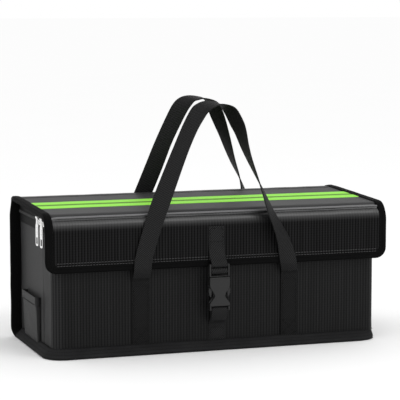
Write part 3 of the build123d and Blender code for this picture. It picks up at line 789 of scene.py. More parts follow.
def lid_edge(start, end):
    """Stations round the lid's bound edge: x, s and the inward direction in that plane."""
    stations = []
    for way in spaced(start * EDGE_ALL, end * EDGE_ALL, 3 * MM):
        side = -1 if way < EDGE_ALL / 2 else 1
        r = max(0.0, min(way, EDGE_ALL - way))
        if r < S_CORNER:
            stations.append((side * LID_HALF, r, -side, 0.0))
        elif r < EDGE_SIDE:
            turn = (r - S_CORNER) / FLAP_CORNER
            stations.append((side * (HEM_HALF + FLAP_CORNER * cos(turn)),
                             S_CORNER + FLAP_CORNER * sin(turn), -side * cos(turn), -sin(turn)))
        else:
            stations.append((side * (HEM_HALF + EDGE_SIDE - r), S_HEM, 0.0, -1.0))
    return stations


def tape_section(width, thick, proud):
    """A bound edge: inward from the edge, and lift; the tape stands proud of the cloth."""
    top, under = proud, -thick - proud
    mid = (top + under) / 2
    return [
        (width, under + 0.3 * MM), (width, 0.0), (width - 0.5 * MM, top * 0.8),
        (width - 1.4 * MM, top), (width * 0.5, top * 1.15), (1.6 * MM, top), (0.5 * MM, top * 0.4),
        (-0.3 * MM, top - 1.4 * MM), (-0.6 * MM, mid), (-0.3 * MM, under + 1.4 * MM),
        (0.5 * MM, under * 0.95), (1.6 * MM, under), (width * 0.5, under),
        (width - 0.6 * MM, under),
    ]


def lid_sewing(start, end, inward, lift):
    """A sewing run along a share of the lid's edge, inward from it."""
    stations = lid_edge(start, end)

    def run(t):
        k = min(max(t, 0.0), 1.0) * (len(stations) - 1)
        i = min(int(k), len(stations) - 2)
        x, s, nx, ns = (p + (q - p) * (k - i) for p, q in zip(stations[i], stations[i + 1]))
        return on_lid(x + nx * inward, s + ns * inward, lift), lid_normal(s + ns * inward)

    return run, (end - start) * EDGE_ALL


def make_lid_bindings():
    """Edge tape in three lengths round the lid, with its sewing."""
    side = EDGE_SIDE / EDGE_ALL
    section = tape_section(BINDING, WALL, 0.7 * MM)

    def binding_place(station, a, b):
        """Along the top the tape is fuller, and stands above the cloth like a bead."""
        x, s, nx, ns = station
        wave = 0.25 * MM * ripple(x, s, 18 * MM, 4.0)
        full = 1.4 * MM * smoothstep((S_RIDGE + 22 * MM - s) / (30 * MM)) if b > 0 else 0.0
        full *= smoothstep((BINDING - a) / (2 * MM))
        return on_lid_plain(x + nx * a, s + ns * a, b + wave + full)

    for name, start, end, node in (
        ("left_lid_tape", 0.0, side, "left_lid_binding"),
        ("flap_hem_tape", side, 1 - side, "flap_binding"),
        ("right_lid_tape", 1 - side, 1.0, "right_lid_binding"),
    ):
        tape = sweep(name, lid_edge(start, end), section, binding_place, TAPE)
        dressed(tape, "lid", "binding_tape", node)

    hem = stitches("hem_stitches", [
        lid_sewing(side, 1 - side, BINDING - 1.0 * MM, 0.75 * MM),
        lid_sewing(side, 1 - side, BINDING + 2.3 * MM, 0.1 * MM),
    ], GREY_THREAD, length=3.4 * MM, gap=0.7 * MM, width=0.9 * MM)
    dressed(hem, "lid", "binding_tape")
    edges = stitches("lid_edge_stitches", [
        lid_sewing(0.002, side, BINDING - 1.4 * MM, 0.75 * MM),
        lid_sewing(1 - side, 0.998, BINDING - 1.4 * MM, 0.75 * MM),
    ], BLACK_THREAD)
    dressed(edges, "lid", "binding_tape")


# ==== tub: walls, base, back ======================================================
corner_y = WALL_FRONT + WALL_CORNER
corner_x = BODY_HALF - WALL_CORNER
wall = Line2D(
    [(-BODY_HALF, WALL_SEAM)]
    + arc((-corner_x, corner_y), WALL_CORNER, pi, 1.5 * pi)
    + arc((corner_x, corner_y), WALL_CORNER, 1.5 * pi, TURN)
    + [(BODY_HALF, WALL_SEAM)]
)
FRONT_FOLD = WALL_SEAM - corner_y + WALL_CORNER * pi / 4     # the left corner, along the wall
wrap = Line2D(
    [(WALL_FRONT, 0.0)]
    + arc((BACK - BEND_R, BEND_R), BEND_R, -pi / 2, 0)
    + [(BACK, HEIGHT - 5 * MM)]
)
S_BEND = wrap.find(0, RIM_REAR)


def wall_relief(u, z):
    """The walls are boarded, so their cloth only puckers a little at the seams."""
    rise = 0.5 * MM * ripple(u, z, 75 * MM, 1.0)
    rise += 0.4 * MM * dent(z - RIM_TOP, 9 * MM) * ripple(u, z, 11 * MM, 9.0)
    return rise - 0.5 * MM * (dent(u, 3 * MM) + dent(u - wall.length, 3 * MM))


def on_wall(u, z, lift=0.0):
    x, y = wall.at(u, lift + wall_relief(u, z))
    return Vector((x, y, z))


def make_front_wall():
    """One cloth round the front and its two corners, with finer columns at the corners."""
    us = sorted({*spaced(0, wall.length, 5 * MM), *spaced(36 * MM, 64 * MM, 1.6 * MM),
                 *spaced(wall.length - 64 * MM, wall.length - 36 * MM, 1.6 * MM)})
    # The left corner's fold gets a painted highlight in the colour.
    front = sheet("front_cover", us, spaced(low("front_panel").z, MOUTH, 4 * MM), on_wall,
                  ribbed_fabric("front_fabric", highlight_at=FRONT_FOLD), FABRIC)
    dressed(front, "box", "ribbed_fabric", "front_panel")


def make_end_wall(side, sign):
    """The plain cloth of an end, whose lower rear corner follows the wrap's bend."""
    def end_place(y, t):
        past = max(0.0, y - (BACK - BEND_R))
        floor = BEND_R - sqrt(max(0.0, BEND_R ** 2 - past ** 2)) + 1.3 * MM
        z = floor + (MOUTH - floor) * t
        seam = dent(y - WALL_SEAM, 3 * MM) + dent(y - BACK, 7 * MM) + dent(z, 16 * MM)
        rise = 0.9 * MM * ripple(y, z, 60 * MM, 7.0 + sign) - 0.6 * MM * seam
        return Vector((sign * (BODY_HALF + rise), y, z))

    ys = spaced(WALL_SEAM, BACK - 1.5 * MM, 4 * MM)
    panel = sheet(f"{side}_end_cover", ys if sign > 0 else ys[::-1], spaced(0.0, 1.0, 1 / 40),
                  end_place, SMOOTH, FABRIC, uv=lambda y, t: (y, t * MOUTH))
    dressed(panel, "box", "smooth_fabric", f"{side}_end_panel")


def make_wrap():
    """Base and back in one strip; it widens into the flanges at the bend."""
    spread = LID_HALF - 3 * MM - BODY_HALF

    def wrap_place(t, s):
        half = BODY_HALF + spread * smoothstep((s - S_BEND) / (12 * MM))
        x = t * half
        rise = 0.4 * MM * ripple(x, s, 70 * MM, 12.0) if s > S_BEND else 0.0
        y, z = wrap.at(s, rise)
        return Vector((x, y, max(z, 0.0)))

    rows = (spaced(4 * MM, S_BEND, 9 * MM) + spaced(S_BEND + 2 * MM, S_BEND + 30 * MM, 2 * MM)
            + spaced(S_BEND + 34 * MM, wrap.length, 5 * MM))
    strip = sheet("wrap_cover", spaced(1.0, -1.0, 1 / 45), rows, wrap_place, RIBBED, FABRIC,
                  uv=lambda t, s: (t * LID_HALF, s))
    dressed(strip, "box", "ribbed_fabric", "wrap_skin")


# Sections of the bound seam in millimetres: out from the wall, and up from the base or in
# from the back. They have the same points in the same order, so that one turns into the other.
RIM_SECTION = [
    (-3.0, 12.6), (0.5, 14.0), (1.3, 14.1), (2.3, 13.4), (6.6, 8.9), (10.4, 4.9), (11.3, 3.6),
    (11.6, 2.3), (11.3, 0.9), (10.3, 0.15), (8.0, 0.0), (4.0, 0.0), (-3.0, 0.0),
]
FLANGE_SECTION = [
    (-3.0, 5.2), (0.5, 5.4), (1.3, 5.5), (2.9, 5.4), (7.5, 5.3), (12.7, 5.2), (14.1, 4.7),
    (15.2, 2.6), (14.4, 0.5), (13.0, -0.4), (10.0, -0.5), (5.0, -0.5), (-3.0, -0.4),
]


def make_foot_rim():
    """The bound seam round the foot of the tub. Returns its sewing run."""
    foot_corner = 17 * MM
    cx, cy = BODY_HALF - foot_corner, WALL_FRONT + foot_corner
    foot_line = Line2D(
        [(-BODY_HALF, RIM_REAR)]
        + arc((-cx, cy), foot_corner, pi, 1.5 * pi, 14)
        + arc((cx, cy), foot_corner, 1.5 * pi, TURN, 14)
        + [(BODY_HALF, RIM_REAR)]
    )
    right_corner = foot_line.find(0, cx) - 12 * MM

    def rim_place(u, a, b):
        """The seam leans out all round, but is pulled upright along the right end."""
        wave = 0.3 * MM * ripple(u, 0, 22 * MM, 3.3) if b > 2 * MM else 0.0
        upright = smoothstep((u - right_corner) / (32 * MM))
        x, y = foot_line.at(u, a * (1 - 0.66 * upright) + wave)
        return Vector((x, y, b + wave))

    def sewing(t):
        u = t * foot_line.length
        x, y = foot_line.at(u, 2.6 * MM)
        ax, ay = foot_line.at(u)
        out = Vector((x - ax, y - ay, 0)).normalized()
        return Vector((x, y, 13.2 * MM)), (out + Vector((0, 0, 1))).normalized()

    section = [(a * MM, b * MM) for a, b in reversed(RIM_SECTION)]
    rim = sweep("rim_tape", spaced(0, foot_line.length, 3 * MM), section, rim_place, RIM_TAPE)
    dressed(rim, "box", "binding_tape", "rim_binding")
    return sewing, foot_line.length


def make_flange(side, sign):
    """The same seam up one side of the back, where it stands out. Returns its sewing runs."""
    settled = S_BEND + 26 * MM            # above here the section is the flange's own
    length = wrap.length - settled

    def flange_at(s, a, b):
        y, z = wrap.at(s, -b)
        wave = 0.4 * MM * ripple(s, 0, 30 * MM, 2.0 + sign)
        return Vector((sign * (BODY_HALF + a + wave), y + wave, z))

    def flange_place(s, k, _):
        share = smoothstep((s - S_BEND) / (26 * MM))
        a, b = (p + (q - p) * share for p, q in zip(RIM_SECTION[k], FLANGE_SECTION[k]))
        a *= 1 - 0.16 * smoothstep((s - wrap.length + 22 * MM) / (26 * MM))
        return flange_at(s, a * MM, b * MM)

    indices = [(k, 0) for k in range(len(RIM_SECTION))]
    rows = spaced(S_BEND, wrap.length + 4.5 * MM, 2.5 * MM)
    flange = sweep(f"{side}_flange_tape", rows, indices if sign > 0 else indices[::-1],
                   flange_place, TAPE)
    scale_uv(flange, 1.8 * MM)
    dressed(flange, "box", "binding_tape", f"{side}_rear_flange")
    return [
        (lambda t, lift=lift, facing=facing: (
            flange_at(settled + t * length, 4.6 * MM, lift), Vector((0, facing, 0))), length)
        for lift, facing in ((5.6 * MM, -1), (-0.6 * MM, 1))
    ]


def make_rim():
    """Bound seam round the foot of the tub, and on up the sides of the back panel."""
    foot_run = make_foot_rim()
    runs = [run for side, sign in SIDES for run in make_flange(side, sign)]
    rows = stitches("rim_stitches", [*runs, foot_run], BLACK_THREAD)
    dressed(rows, "box", "binding_tape")


# ==== fold between back panel and lid =============================================
def make_fold():
    """Cloth that turns over from the back panel to the lid."""
    turn, inner_turn = 4.5 * MM, 1.5 * MM
    outer = Line2D(
        [(BACK, HEIGHT - 16 * MM)]
        + arc((BACK - turn, HEIGHT - turn), turn, 0, pi / 2, 10)
        + [(BACK - 20 * MM, HEIGHT)]
    )
    inner_y, inner_z = BACK - WALL - 0.8 * MM, HEIGHT - WALL - 0.8 * MM
    inner = Line2D(
        [(BACK - WALL - 20 * MM, inner_z), (BACK - WALL - inner_turn, inner_z)]
        + arc((inner_y - inner_turn, inner_z - inner_turn), inner_turn, pi / 2, 0, 6)
        + [(inner_y, MOUTH - 3 * MM)]
    )

    def outer_place(x, s, lift=0.5 * MM):
        y, z = outer.at(s, lift + 0.25 * MM * ripple(x, s, 20 * MM, 2.5))
        return Vector((x, y, z))

    def inner_place(x, s):
        y, z = inner.at(s, -0.3 * MM)
        return Vector((x * BODY_HALF / LID_HALF, y, z))

    xs = spaced(LID_HALF - 2 * MM, -LID_HALF + 2 * MM, 8 * MM)
    outer_s = spaced(0, outer.length, 1.5 * MM)
    cloth = sheet("fold_cover", xs, outer_s, outer_place, COATED, 0.9 * MM)
    lining = sheet("fold_lining", xs, spaced(0, inner.length, 2 * MM), inner_place, GLASS,
                   0.4 * MM)
    pieces = [(cloth, "coated_fabric"), (lining, "glass_fibre")]
    for side, sign in SIDES:
        ends = spaced(sign * LID_HALF + 0.5 * MM, sign * (LID_HALF - BINDING), 2 * MM)
        tape = sheet(f"{side}_fold_tape", ends if sign > 0 else ends[::-1], outer_s,
                     lambda x, s: outer_place(x, s, 1.3 * MM), TAPE, 2.2 * MM)
        pieces.append((tape, "binding_tape"))
    for piece, slot in pieces:
        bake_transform(piece)
    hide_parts("hinge_fold")


# ==== lining ======================================================================
def make_tub_lining():
    """Fire cloth over the floor's edge, up the walls and out over their rim."""
    r = 6 * MM
    x1, y0, y1 = BODY_HALF - WALL, WALL_FRONT + WALL, BACK - WALL
    ring = Line2D(
        arc((-x1 + r, y1 - r), r, pi / 2, pi, 5) + arc((-x1 + r, y0 + r), r, pi, 1.5 * pi, 5)
        + arc((x1 - r, y0 + r), r, 1.5 * pi, TURN, 5) + arc((x1 - r, y1 - r), r, 0, pi / 2, 5)
        + [(-x1 + r, y1)]
    )
    floor_part = 60 * MM
    rise = MOUTH - WALL

    def lining_place(u, v):
        """v is below 0 on the floor, then runs up the wall and on over the rim."""
        x, y = ring.at(u)
        if v <= 0:
            shrink = 1 + v / floor_part
            return Vector((x * shrink, y * shrink, WALL + 0.3 * MM * ripple(x, y, 40 * MM)))
        if v <= rise:
            sag = 1.0 * MM * ripple(u, v, 45 * MM, 4.0) * sin(pi * v / rise)
            return Vector((*ring.at(u, -abs(sag)), WALL + v))
        over = v - rise
        return Vector((*ring.at(u, over), MOUTH + 0.5 * MM * sin(pi * over / WALL)))

    vs = (spaced(-floor_part, 0, 10 * MM) + spaced(3 * MM, rise, 6 * MM)
          + spaced(rise + MM, rise + WALL - 0.2 * MM, 0.9 * MM))
    lining = sheet("tub_lining", spaced(0, ring.length, 6 * MM), vs, lining_place, GLASS)
    dressed(lining, "box", "glass_fibre", "tub_liner")


def make_lid_lining():
    """Fire cloth under the lid's boards, a little slack between its seams."""
    def lining_place(x, s):
        puff = 0.5 * MM * ripple(x, s, 50 * MM, 6.0) + 0.3 * MM * ripple(x, s, 15 * MM, 9.0)
        return on_lid_plain(x, s, -WALL - abs(puff) * 0.6)

    cover = sheet("lid_lining", spaced(LID_INNER + MM, -LID_INNER - MM, 7 * MM),
                  spaced(2 * MM, S_HEM - BINDING + MM, 4 * MM), lining_place, GLASS)
    dressed(cover, "lid", "glass_fibre", "lid_liner")


# ==== zip =========================================================================
ZIP_LINE = (high("zip_lower_tape").z + low("zip_upper_tape").z) / 2
zip_line = Line2D(
    [(-BODY_HALF, LID_REAR)]
    + arc((-corner_x, corner_y), WALL_CORNER, pi, 1.5 * pi, 8)
    + arc((corner_x, corner_y), WALL_CORNER, 1.5 * pi, TURN, 8)
    + [(BODY_HALF, LID_REAR)]
)
TOOTH_PITCH = 2.4 * MM
TOOTH_SIDES = 6
TOOTH_RINGS = ((-1.3, 0.55), (-0.9, 1.0), (0.5, 1.0), (1.0, 0.6))     # rise in mm, share of girth
PULL_TURN = radians(9)                # each pull hangs a little turned in its loose eye


def zip_point(u, z, lift):
    """A point off the zip's line at a height, and the way out of the wall there."""
    x, y = zip_line.at(u, lift)
    ox, oy = zip_line.at(u, lift + MM)
    return Vector((x, y, z)), Vector((ox - x, oy - y, 0)).normalized()


def make_zip_tapes():
    """The lower tape on the tub and the upper tape on the lid."""
    us = spaced(0, zip_line.length, 4 * MM)
    tape_low, tape_high = low("zip_lower_tape").z, high("zip_upper_tape").z
    end_run = BACK - WALL_FRONT - 20 * MM

    def tape_place(u, z):
        x, y = zip_line.at(u, 0.9 * MM + 0.2 * MM * ripple(u, z, 16 * MM, 5.0))
        return Vector((x, y, z))

    def upper_place(u, t):
        """The upper tape is lower across the front, where the shoulder comes down."""
        along_end = min(u, zip_line.length - u)
        top = tape_high - 6.6 * MM * smoothstep((along_end - end_run) / (14 * MM))
        foot_z = ZIP_LINE + 0.5 * MM
        return tape_place(u, foot_z + (top - foot_z) * t)

    lower = sheet("lower_zip_tape", us, spaced(tape_low, ZIP_LINE - 0.5 * MM, 2 * MM), tape_place,
                  ZIP_TAPE, 0.8 * MM)
    dressed(lower, "box", "zip_tape", "zip_lower_tape")
    upper = sheet("upper_zip_tape", us, spaced(0, 1, 1 / 4), upper_place, ZIP_TAPE, 0.8 * MM,
                  uv=lambda u, t: (u, t * 9 * MM))
    dressed(upper, "lid", "zip_tape", "zip_upper_tape")


def make_zip_sewing():
    """Two rows of sewing along the lower tape."""
    runs = [
        (lambda t, z=z: zip_point(t * zip_line.length, z, 1.0 * MM), zip_line.length)
        for z in (low("zip_lower_tape").z + 2.2 * MM, ZIP_LINE - 4.6 * MM)
    ]
    dressed(stitches("zip_stitches", runs, BLACK_THREAD, width=0.6 * MM), "box", "zip_tape")


def add_tooth(vertices, faces, uvs, u, sign):
    """One loop of the coil: a small pill across the zip's line."""
    centre, out = zip_point(u, ZIP_LINE + sign * 0.85 * MM, 1.5 * MM)
    along = Vector((-out.y, out.x, 0))
    base, top = len(vertices), len(TOOTH_RINGS) - 1
    for rise, girth in TOOTH_RINGS:
        for k in range(TOOTH_SIDES):
            angle = TURN * k / TOOTH_SIDES
            offset = (along * (0.62 * cos(angle)) + out * (0.8 * sin(angle))) * (girth * MM)
            vertices.append(centre + offset + Vector((0, 0, -sign * rise * MM)))
            uvs.append((k * 0.2 * MM, rise * MM))
    cap = tuple(base + top * TOOTH_SIDES + k for k in range(TOOTH_SIDES))
    for face in ring_faces(base, top + 1, TOOTH_SIDES) + [cap]:
        faces.append(face if sign < 0 else face[::-1])


def make_zip_teeth():
    """Two rows of coil that mesh; the upper row is open between the two sliders."""
    gap_low = zip_line.find(1, high("rear_slider").y) - MM
    gap_high = zip_line.find(1, low("front_slider").y) + MM
    for row, body, sign, shift in (
        ("lower", "box", -1, 0.0), ("upper", "lid", 1, TOOTH_PITCH / 2),
    ):
        vertices, faces, uvs = [], [], []
        for u in spaced(shift + MM, zip_line.length - MM, TOOTH_PITCH):
            if sign > 0 and gap_low < u < gap_high:
                continue
            add_tooth(vertices, faces, uvs, u, sign)
        teeth = finish_mesh(f"{row}_teeth", vertices, faces, uvs, COIL, 180.0)
        dressed(teeth, body, "zip_teeth", f"zip_{row}_teeth")


def metal_plate(outlines, thickness, bevel, origin, x_axis=(0, -1, 0)):
    """A plated part from outlines in millimetres; it faces out of the left end, or is turned."""
    scaled = [[(a * MM, b * MM) for a, b in outline] for outline in outlines]
    return plate("part", scaled, thickness * MM, bevel * MM, METAL, origin, x_axis, (0, 0, 1))


def metal_pin(centre, half, radius, sides, step):
    """A round pin along the front-to-back direction."""
    return sweep("part", spaced(-half, half, step), circle(radius, sides),
                 lambda t, a, b: centre + Vector((a, t, b)), METAL)


def slider_parts(pivot):
    """Two plates with lips over the tapes, two ears and the pin that holds the pull."""
    def spot(out, along=0.0, up=0.0):
        return -(BODY_HALF + (3.2 + out) * MM), pivot.y + along * MM, ZIP_LINE + up * MM

    shield = rounded([(-6.4, -3.6), (-2.4, -5.4), (6.4, -4.4), (6.4, 4.4), (-2.4, 5.4),
                      (-6.4, 3.6)], 2)
    ear = rounded([(0, -2.6), (4.4, -2.2), (5.9, 0), (4.6, 2.4), (0, 2.4)], [0.3, 1, 2, 1.6, 0.3])
    above = (pivot.z - ZIP_LINE) / MM
    return [
        metal_plate([shield], 1.8, 0.6, spot(0.9)),
        metal_plate([box_outline(-5, -2.4, 5, 2.4, 1.6)], 1.6, 0.6, spot(2.0)),
        *(metal_plate([box_outline(-5, -0.7, 5, 0.7, 0.6)], 2.6, 0.3, spot(-0.4, 0, lip))
          for lip in (-4.9, 4.9)),
        *(metal_plate([ear], 1.6, 0.4, spot(0.9, along, above), (-1, 0, 0))
          for along in (-4.3, 4.3)),
        metal_pin(pivot, 4.6 * MM, 0.8 * MM, 12, 2 * MM),
    ]


def pull_parts(pivot, length):
    """A waisted tab with a slot and a raised pad, and the eye that it hangs from."""
    tab = rounded([
        (-2.3, 1.6), (-2.5, -7), (-4.5, -11), (-4.2, -length),
        (4.2, -length), (4.5, -11), (2.5, -7), (2.3, 1.6),
    ], [1.2, 3, 2, 3.2, 3.2, 2, 3, 1.2])
    slot = box_outline(-2.5, 3 - length, 2.5, 12 - length, 1.8)
    pad = box_outline(-2.2, 16 - length, 2.2, -13, 1.6)
    return [
        metal_plate([tab, slot[::-1]], 1.8, 0.5, pivot),
        metal_plate([pad], 1.0, 0.4, pivot - Vector((0.8 * MM, 0, 0))),
        metal_pin(pivot, 2.4 * MM, 1.9 * MM, 16, 1.2 * MM),
    ]


def make_sliders():
    """Two plated sliders, each with a hinged pull that hangs down the end wall."""
    for place in ("rear", "front"):
        slider, pull = f"{place}_slider", f"{place}_pull"
        eye = 2.3 * MM                    # from the pull's outer face and top to its pivot
        pivot = Vector((low(pull).x + eye, middle(slider).y, high(pull).z - eye))
        dressed(joined(f"{slider}_metal", slider_parts(pivot)), slider, "zip_metal", slider)

        hanging = joined(f"{pull}_tab", pull_parts(pivot, (pivot.z - low(pull).z) / MM))
        turned = Matrix.Translation(pivot) @ Matrix.Rotation(PULL_TURN, 4, "Z")
        hanging.data.transform(turned @ Matrix.Translation(-pivot))
        dressed(hanging, pull, "zip_metal", pull)


# ==== pocket on the left end ======================================================
POCKET_ROUND = 92 * MM                # the pocket's cloth, measured round both its gussets


def make_pocket():
    """A shallow pocket with narrow gussets and a folded, stitched hem."""
    lo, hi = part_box("end_pocket")
    base_x = -BODY_HALF
    bottom, top = lo.z - 3 * MM, hi.z
    deep_low, deep_top = 4.4 * MM, 7.2 * MM
    corner = 1.6 * MM

    def pocket_path(v):
        """Plan of the pocket at a height: rear gusset, face and front gusset."""
        share = (v - bottom) / (top - bottom)
        face_x = base_x - deep_low - (deep_top - deep_low) * share
        belly = 0.8 * MM * sin(pi * share)
        return Line2D(
            [(base_x + 0.3 * MM, hi.y)]
            + arc((face_x + corner, hi.y - corner), corner, pi / 2, pi, 5)
            + [(face_x - belly, (lo.y + hi.y) / 2)]
            + arc((face_x + corner, lo.y + corner), corner, pi, 1.5 * pi, 5)
            + [(base_x + 0.3 * MM, lo.y)]
        )

    def on_pocket(t, v, path_v, lift=0.0):
        line = pocket_path(path_v)
        s = t * line.length
        x, y = line.at(s, 0.3 * MM * ripple(s, v, 18 * MM, 6.0) + lift)
        return Vector((x, y, v))

    def hem_place(t, v):
        edge = smoothstep((v - top + 12.5 * MM) / MM)
        return on_pocket(0.02 + 0.96 * t, v, min(v, top), 0.85 * MM * edge)

    columns = spaced(0, 1, 1 / 44)
    cloth = sheet("pocket_cloth", columns, spaced(bottom, top, 3 * MM),
                  lambda t, v: on_pocket(t, v, v), SMOOTH, 0.9 * MM,
                  uv=lambda t, v: (t * POCKET_ROUND, v))
    dressed(cloth, "box", "smooth_fabric", "end_pocket")

    fold = sheet("pocket_fold", columns, spaced(top - 12.8 * MM, top + 0.4 * MM, 1.1 * MM),
                 hem_place, SMOOTH, 1.0 * MM, uv=lambda t, v: (t * POCKET_ROUND, v))
    dressed(fold, "box", "smooth_fabric", "pocket_hem")

    def hem_sewing(t):
        return hem_place(0.09 + 0.82 * t, top - 10.6 * MM), Vector((-1, 0, 0))

    seam_x, seam_y = base_x - 0.6 * MM, lo.y - 1.6 * MM
    seam = straight_run((seam_x, seam_y, bottom), (seam_x, seam_y, top), (-1, 0, 0))
    rows = stitches("pocket_stitches", [(hem_sewing, 70 * MM), seam], BLACK_THREAD,
                    length=5 * MM, gap=0.4 * MM, width=1.3 * MM)
    dressed(rows, "box", "smooth_fabric")


# ==== webbing =====================================================================
def ribbon_section(width=WEBBING, thick=WEBBING_T):
    """Flat woven band with rounded selvedges."""
    h, t = width / 2, thick / 2
    return [
        (-h + 0.9 * MM, t), (0, t), (h - 0.9 * MM, t), (h - 0.25 * MM, t * 0.7), (h, 0),
        (h - 0.25 * MM, -t * 0.7), (h - 0.9 * MM, -t), (0, -t), (-h + 0.9 * MM, -t),
        (-h + 0.25 * MM, -t * 0.7), (-h, 0), (-h + 0.25 * MM, t * 0.7),
    ]


class Span:
    """A band's centre and its width direction, which interpolate together."""

    def __init__(self, centre, across):
        self.centre, self.across = Vector(centre), Vector(across)

    def __add__(self, other):
        return Span(self.centre + other.centre, self.across + other.across)

    def __sub__(self, other):
        return Span(self.centre - other.centre, self.across - other.across)

    def __mul__(self, k):
        return Span(self.centre * k, self.across * k)


def catmull(spans, step):
    """A smooth row of spans through a few given ones, about a step apart."""
    row = []
    for i in range(len(spans) - 1):
        p0, p1 = spans[max(i - 1, 0)], spans[i]
        p2, p3 = spans[i + 1], spans[min(i + 2, len(spans) - 1)]
        count = max(2, round((p2.centre - p1.centre).length / step))
        for k in range(count):
            t = k / count
            row.append((p1 * 2 + (p2 - p0) * t + (p0 * 2 - p1 * 5 + p2 * 4 - p3) * t * t
                        + (p1 * 3 - p0 - p2 * 3 + p3) * t ** 3) * 0.5)
    row.append(spans[-1])
    return row


def band(name, spans, material, width=WEBBING, thick=WEBBING_T, step=3 * MM, unit=MM):
    """A webbing band through spans: each has a centre, in a unit, and a width direction."""
    line = catmull([Span(Vector(c) * unit, Vector(a).normalized()) for c, a in spans], step)
    stations = []
    for i, here in enumerate(line):
        along = (line[min(i + 1, len(line) - 1)].centre - line[max(i - 1, 0)].centre).normalized()
        across = here.across.normalized()
        stations.append((here.centre, across, along.cross(across).normalized()))
    return sweep(name, stations, ribbon_section(width, thick),
                 lambda s, a, b: s[0] + s[1] * a + s[2] * b, material)


# The free loops as they stand in the photograph: centres in millimetres, and the direction of
# the webbing's width, from the left leg over to the right one.
FRONT_LOOP = [
    ((-113, -94.2, 106), (1, 0, 0)), ((-113.4, -101.9, 118), (1, 0, 0)),
    ((-112.6, -102.6, 130), (1, 0, -0.10)), ((-107.6, -102.8, 150), (1, 0, -0.18)),
    ((-100.7, -103.2, 172), (0.98, -0.03, -0.20)), ((-90.8, -101, 199), (0.93, -0.22, -0.30)),
    ((-76.5, -90, 226), (0.80, -0.52, -0.28)), ((-50.6, -71, 273), (0.62, -0.74, -0.25)),
    ((-32.3, -60, 305), (0.60, -0.75, -0.28)), ((-17.8, -52, 325), (0.60, -0.68, -0.42)),
    ((-10, -49, 332), (0.42, -0.79, -0.44)), ((-1, -47, 336), (0.06, -0.91, -0.41)),
    ((10.3, -46, 337.2), (-0.22, -0.95, -0.20)), ((19, -46.2, 336.4), (-0.2, -0.96, 0.10)),
    ((30.8, -49, 328), (0.32, -0.88, 0.36)), ((38.4, -55, 311.7), (0.44, -0.83, 0.36)),
    ((42.6, -60, 299), (0.31, -0.88, 0.33)), ((46, -69, 278.5), (0.07, -0.95, 0.29)),
    ((50.2, -77, 260.4), (-0.11, -0.97, 0.20)), ((57.3, -88, 236.3), (-0.30, -0.94, 0.14)),
    ((62.9, -97, 216.7), (-0.44, -0.89, 0.03)), ((66.4, -104, 202), (-0.53, -0.84, -0.05)),
    ((70.8, -109, 188.3), (-0.61, -0.78, -0.09)), ((77.1, -111, 174.5), (-0.70, -0.70, -0.10)),
    ((88, -107.5, 153), (-0.87, -0.47, -0.13)), ((95.8, -103.4, 130), (-0.98, -0.12, -0.10)),
    ((98.8, -101.9, 118), (-1, 0, 0)), ((103.6, -94.2, 106), (-1, 0, 0)),
]
REAR_LOOP = [
    ((-96, 102, 106), (1, 0, 0)), ((-93, 103.4, 122), (1, 0, -0.1)),
    ((-76, 105, 152), (0.93, -0.08, -0.33)), ((-60, 106, 180), (0.92, -0.14, -0.34)),
    ((-51.6, 103.4, 196), (0.92, -0.20, -0.34)), ((-39.5, 86, 237.5), (0.86, -0.38, -0.36)),
    ((-28.9, 66, 279.5), (0.72, -0.60, -0.34)), ((-17.7, 48, 315), (0.72, -0.58, -0.40)),
    ((-12.2, 41, 328.8), (0.66, -0.62, -0.43)), ((-6.6, 38, 336), (0.45, -0.78, -0.43)),
    ((1.6, 36, 341), (0.12, -0.95, -0.28)), ((12, 35, 341.4), (-0.24, -0.95, -0.13)),
    ((23, 35, 340), (-0.24, -0.95, 0.10)), ((35.7, 38, 330.2), (0.38, -0.85, 0.36)),
    ((45.8, 46, 314.6), (0.44, -0.80, 0.40)), ((58.9, 57, 290.4), (0.27, -0.90, 0.35)),
    ((71.1, 70, 267), (0.10, -0.95, 0.30)), ((83.2, 82, 244), (-0.10, -0.97, 0.22)),
    ((96.6, 94.8, 222), (-0.30, -0.95, 0.13)), ((106.5, 106.6, 204), (-0.47, -0.88, 0.05)),
    ((110.5, 109.8, 190), (-0.68, -0.73, 0)), ((113.5, 108.2, 170), (-0.88, -0.47, 0)),
    ((115.4, 105.4, 146), (-0.98, -0.18, 0)), ((116, 103.2, 124), (-1, 0, 0)),
    ((116, 102, 106), (-1, 0, 0)),
]


def make_loops():
    """The two free loops. The webbing's inner side gets a darker copy of the webbing: painted
    shade.
    """
    count = len(ribbon_section())
    for name, spans in (("front_handle", FRONT_LOOP), ("rear_handle", REAR_LOOP)):
        loop = band(f"{name}_band", spans, WEB)
        loop.data.materials.append(SHADED_WEB)
        for polygon in loop.data.polygons:
            if polygon.index % count < 2:
                polygon.material_index = 1
        dressed(loop, name, "webbing", name)


